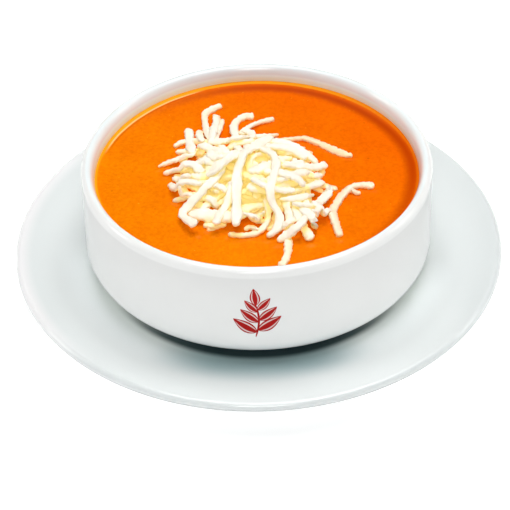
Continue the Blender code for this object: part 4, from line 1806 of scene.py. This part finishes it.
@dataclass
class TomatoSoup:
    """The soup: it reaches just into the wall, climbs it a little and wets the cheese.

    Attributes:
        bowl: The bowl that holds it.
        pile: What lies on it.
        into_wall: How far it reaches into the wall.
        creep_height: How far its edge climbs the wall.
        creep_length: Distance over which the climb fades, as exp(-distance / length).
        wetting_height: How far it climbs a shred that lies on it.
    """

    bowl: SoupBowl
    pile: Pile
    into_wall: float = 0.12 * MM
    creep_height: float = 0.4 * MM
    creep_length: float = 0.9 * MM
    wetting_height: float = 0.4 * MM
    wetting_length: float = 0.6 * MM
    segments: int = 300
    rows: int = 110

    def surface(self) -> np.ndarray:
        """Rings of the free surface from the wall to the middle.

        Height = soup + creep * exp(-distance to the wall / creep length)
        + wetting * exp(-distance to the nearest shred / wetting length).

        Returns:
            An array of shape (rows, segments, 3).
        """
        edge = self.bowl.inside_radius + self.into_wall
        share = np.linspace(0.0, 1.0, self.rows, endpoint=False)
        inwards = 0.25 * share ** 2 + 0.75 * share ** 1.15
        profile = np.column_stack([edge * (1.0 - inwards), np.zeros(self.rows)])
        rings = turned_rings(profile, self.segments)
        inside = np.maximum(self.bowl.inside_radius - np.hypot(rings[..., 0], rings[..., 1]), 0.0)
        climb = self.creep_height * np.exp(-inside / self.creep_length)
        wet = self.wetting_height * np.exp(-self.shore(rings) / self.wetting_length)
        rings[..., 2] = self.bowl.base + self.bowl.soup_height + climb + wet
        return rings

    def shore(self, rings: np.ndarray) -> np.ndarray:
        """Distance from places on the surface to the nearest wet cheese, at most 3 mm.

        Circles of growing radius round each place are looked up in the pile's map.

        Args:
            rings: Places of shape (rows, segments, 3).

        Returns:
            Distances of shape (rows, segments), in metres.
        """
        places = rings[..., :2] / MM
        distance = np.full(rings.shape[:2], 3.0)
        headings = compass(12)
        for reach in (2.5, 2.0, 1.6, 1.3, 1.0, 0.75, 0.5, 0.25, 0.0):
            spots = places[..., None, :] + reach * headings
            wet = (self.pile.heights[self.pile.cells(spots)] > 0.0).any(axis=-1)
            distance = np.where(wet, reach, distance)
        return distance * MM

    def build(self, effects: SharedEffects) -> bpy.types.Object:
        """Build and dress the soup."""
        surface = self.surface()
        below = self.bowl.inside(self.into_wall, self.bowl.soup_height)[:-1]
        below = below + np.array([0.0, self.bowl.base])
        rings = np.concatenate([turned_rings(below, self.segments), surface])
        foot = np.array([0.0, 0.0, below[0, 1]])
        middle = np.array([0.0, 0.0, surface[-1, :, 2].mean()])
        finish = SoupFinish("tomato_soup", edge_radius=self.bowl.inside_radius,
                            edge_width=1.1 * MM)
        piece = closed_tube(rings, foot, middle).as_piece(
            "tomato_soup_filled", finish.material(effects), "soup")
        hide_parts("tomato_soup")
        return piece


# ---------------------------------------------------------------- studio

@dataclass(frozen=True)
class SoftBox:
    """Square area light that faces the bowl.

    Attributes:
        name: Its name.
        towards: Direction from the bowl to the light.
        distance: Its distance from the bowl.
        size: Side of the square.
        brightness: Value that a white card facing the light would have.
        colour: Its colour.
    """

    name: str
    towards: tuple[float, float, float]
    distance: float
    size: float
    brightness: float
    colour: Colour = (1.0, 1.0, 1.0)

    def build(self, target: Vector) -> bpy.types.Object:
        """Place the light.

        Args:
            target: The point that it faces.

        Returns:
            The light object.
        """
        lamp = bpy.data.lights.new(self.name, "AREA")
        lamp.shape = "SQUARE"
        lamp.size = self.size
        lamp.color = self.colour
        lamp.energy = self.brightness * math.pi ** 2 * self.distance ** 2
        light = placed(self.name, lamp)
        direction = Vector(self.towards).normalized()
        light.location = target + self.distance * direction
        light.rotation_euler = direction.to_track_quat("Z", "Y").to_euler()
        return light


@dataclass
class Studio:
    """Pale table, soft lights, pale surroundings and the camera.

    Attributes:
        bowl: The bowl, whose lip the camera is placed from.
        elevation: Of the camera above the horizon, in degrees.
        distance: Of the camera from the middle of the lip, in lip radii.
        aim: Point that the camera looks at.
        roll: Turn of the camera about its own axis, in degrees.
        lens: Focal length on a 36 mm wide sensor, in millimetres.
    """

    bowl: SoupBowl
    elevation: float = 36.44
    distance: float = 9.0
    aim: tuple[float, float, float] = (-1.5 * MM, 0.0, 4.2 * MM)
    roll: float = -1.5
    lens: float = 111.2
    table_size: float = 8.0
    lights: tuple[SoftBox, ...] = (
        SoftBox("overhead", (0.08, 0.22, 0.96), 1.4, 0.95, 0.92, (1.0, 0.99, 0.97)),
        SoftBox("right_window", (0.9, 0.2, 0.55), 1.8, 0.5, 0.17, (1.0, 0.985, 0.96)),
        SoftBox("left_window", (-0.9, 0.1, 0.5), 1.8, 0.5, 0.20, (1.0, 0.985, 0.96)),
        SoftBox("front_box", (0.0, -0.75, 0.65), 1.8, 0.6, 0.41, (1.0, 0.99, 0.97)),
    )
    horizon: Colour = (1.0, 1.0, 1.0)
    sky: Colour = (0.0, 0.02, 0.025)

    def camera(self) -> bpy.types.Object:
        """Create the camera and make it the scene's."""
        lens = bpy.data.cameras.new("camera")
        lens.sensor_width = 36.0
        lens.lens = self.lens
        lens.clip_start = 0.01
        lens.clip_end = 50.0
        tilt = math.radians(self.elevation)
        away = self.distance * self.bowl.lip_radius
        lip = self.bowl.base + self.bowl.lip_height
        eye = Vector((0.0, -away * math.cos(tilt), lip + away * math.sin(tilt)))
        forward = (Vector(self.aim) - eye).normalized()
        right = forward.cross(Vector((0.0, 0.0, 1.0))).normalized()
        up = right.cross(forward)
        turn = math.radians(self.roll)
        across = math.cos(turn) * right + math.sin(turn) * up
        upright = math.cos(turn) * up - math.sin(turn) * right
        matrix = Matrix((across, upright, -forward)).transposed().to_4x4()
        matrix.translation = eye
        camera = placed("camera", lens)
        camera.matrix_world = matrix
        bpy.context.scene.camera = camera
        return camera

    def table(self, effects: SharedEffects) -> bpy.types.Object:
        """Plain pale table under the plate, which isn't part of the object.

        Args:
            effects: The shared node groups.

        Returns:
            The table.
        """
        half, count = 0.5 * self.table_size, 9
        side = np.linspace(-half, half, count)
        x, y = np.meshgrid(side, side, indexing="ij")
        points = np.stack([x, y, np.full_like(x, CAD_BOUNDS[0][2])], axis=-1).reshape(-1, 3)
        number = np.arange(count * count).reshape(count, count)
        quads = np.stack([number[:-1, :-1], number[1:, :-1], number[1:, 1:], number[:-1, 1:]],
                         axis=-1).reshape(-1, 4)
        mesh = bpy.data.meshes.new("table")
        mesh.from_pydata(points.tolist(), [], quads.tolist())
        mesh.materials.append(TableFinish("table_top").material(effects))
        table = placed("table", mesh)
        return table

    def surroundings(self) -> None:
        """Pale horizon under a dimmer sky, by the height of the direction looked in."""
        world = bpy.data.worlds.new("surroundings")
        world.use_nodes = True
        bpy.context.scene.world = world
        wiring = Wiring(world.node_tree)
        direction = wiring.add("ShaderNodeTexCoord").outputs["Generated"]
        height = wiring.add("ShaderNodeSeparateXYZ", {0: direction}).outputs["Z"]
        share = wiring.ramp(height, 0.03, 0.28)
        background = world.node_tree.nodes["Background"]
        wiring.put(background.inputs["Color"], wiring.mix(share, self.horizon, self.sky))

    def build(self, effects: SharedEffects) -> None:
        """Build the whole studio.

        Args:
            effects: The shared node groups.
        """
        self.camera()
        self.table(effects)
        self.surroundings()
        target = Vector((0.0, 0.0, self.bowl.base + self.bowl.soup_height))
        for light in self.lights:
            light.build(target)
        bpy.context.scene.view_settings.view_transform = "Standard"


# ---------------------------------------------------------------- all together


def main() -> None:
    """Build every piece of the bowl of soup and the studio round it."""
    logging.basicConfig(level=logging.INFO, format="%(name)s: %(message)s")
    effects = SharedEffects()
    bowl = SoupBowl()
    SaucerPlate().build(effects)
    bowl.build(effects)
    PrintedSprig(bowl).build(effects)
    cheese = GratedCheese(soup_top=bowl.base + bowl.soup_height)
    cheese.build(effects)
    TomatoSoup(bowl, cheese.pile).build(effects)
    Studio(bowl).build(effects)


if __name__ == "__main__":
    main()
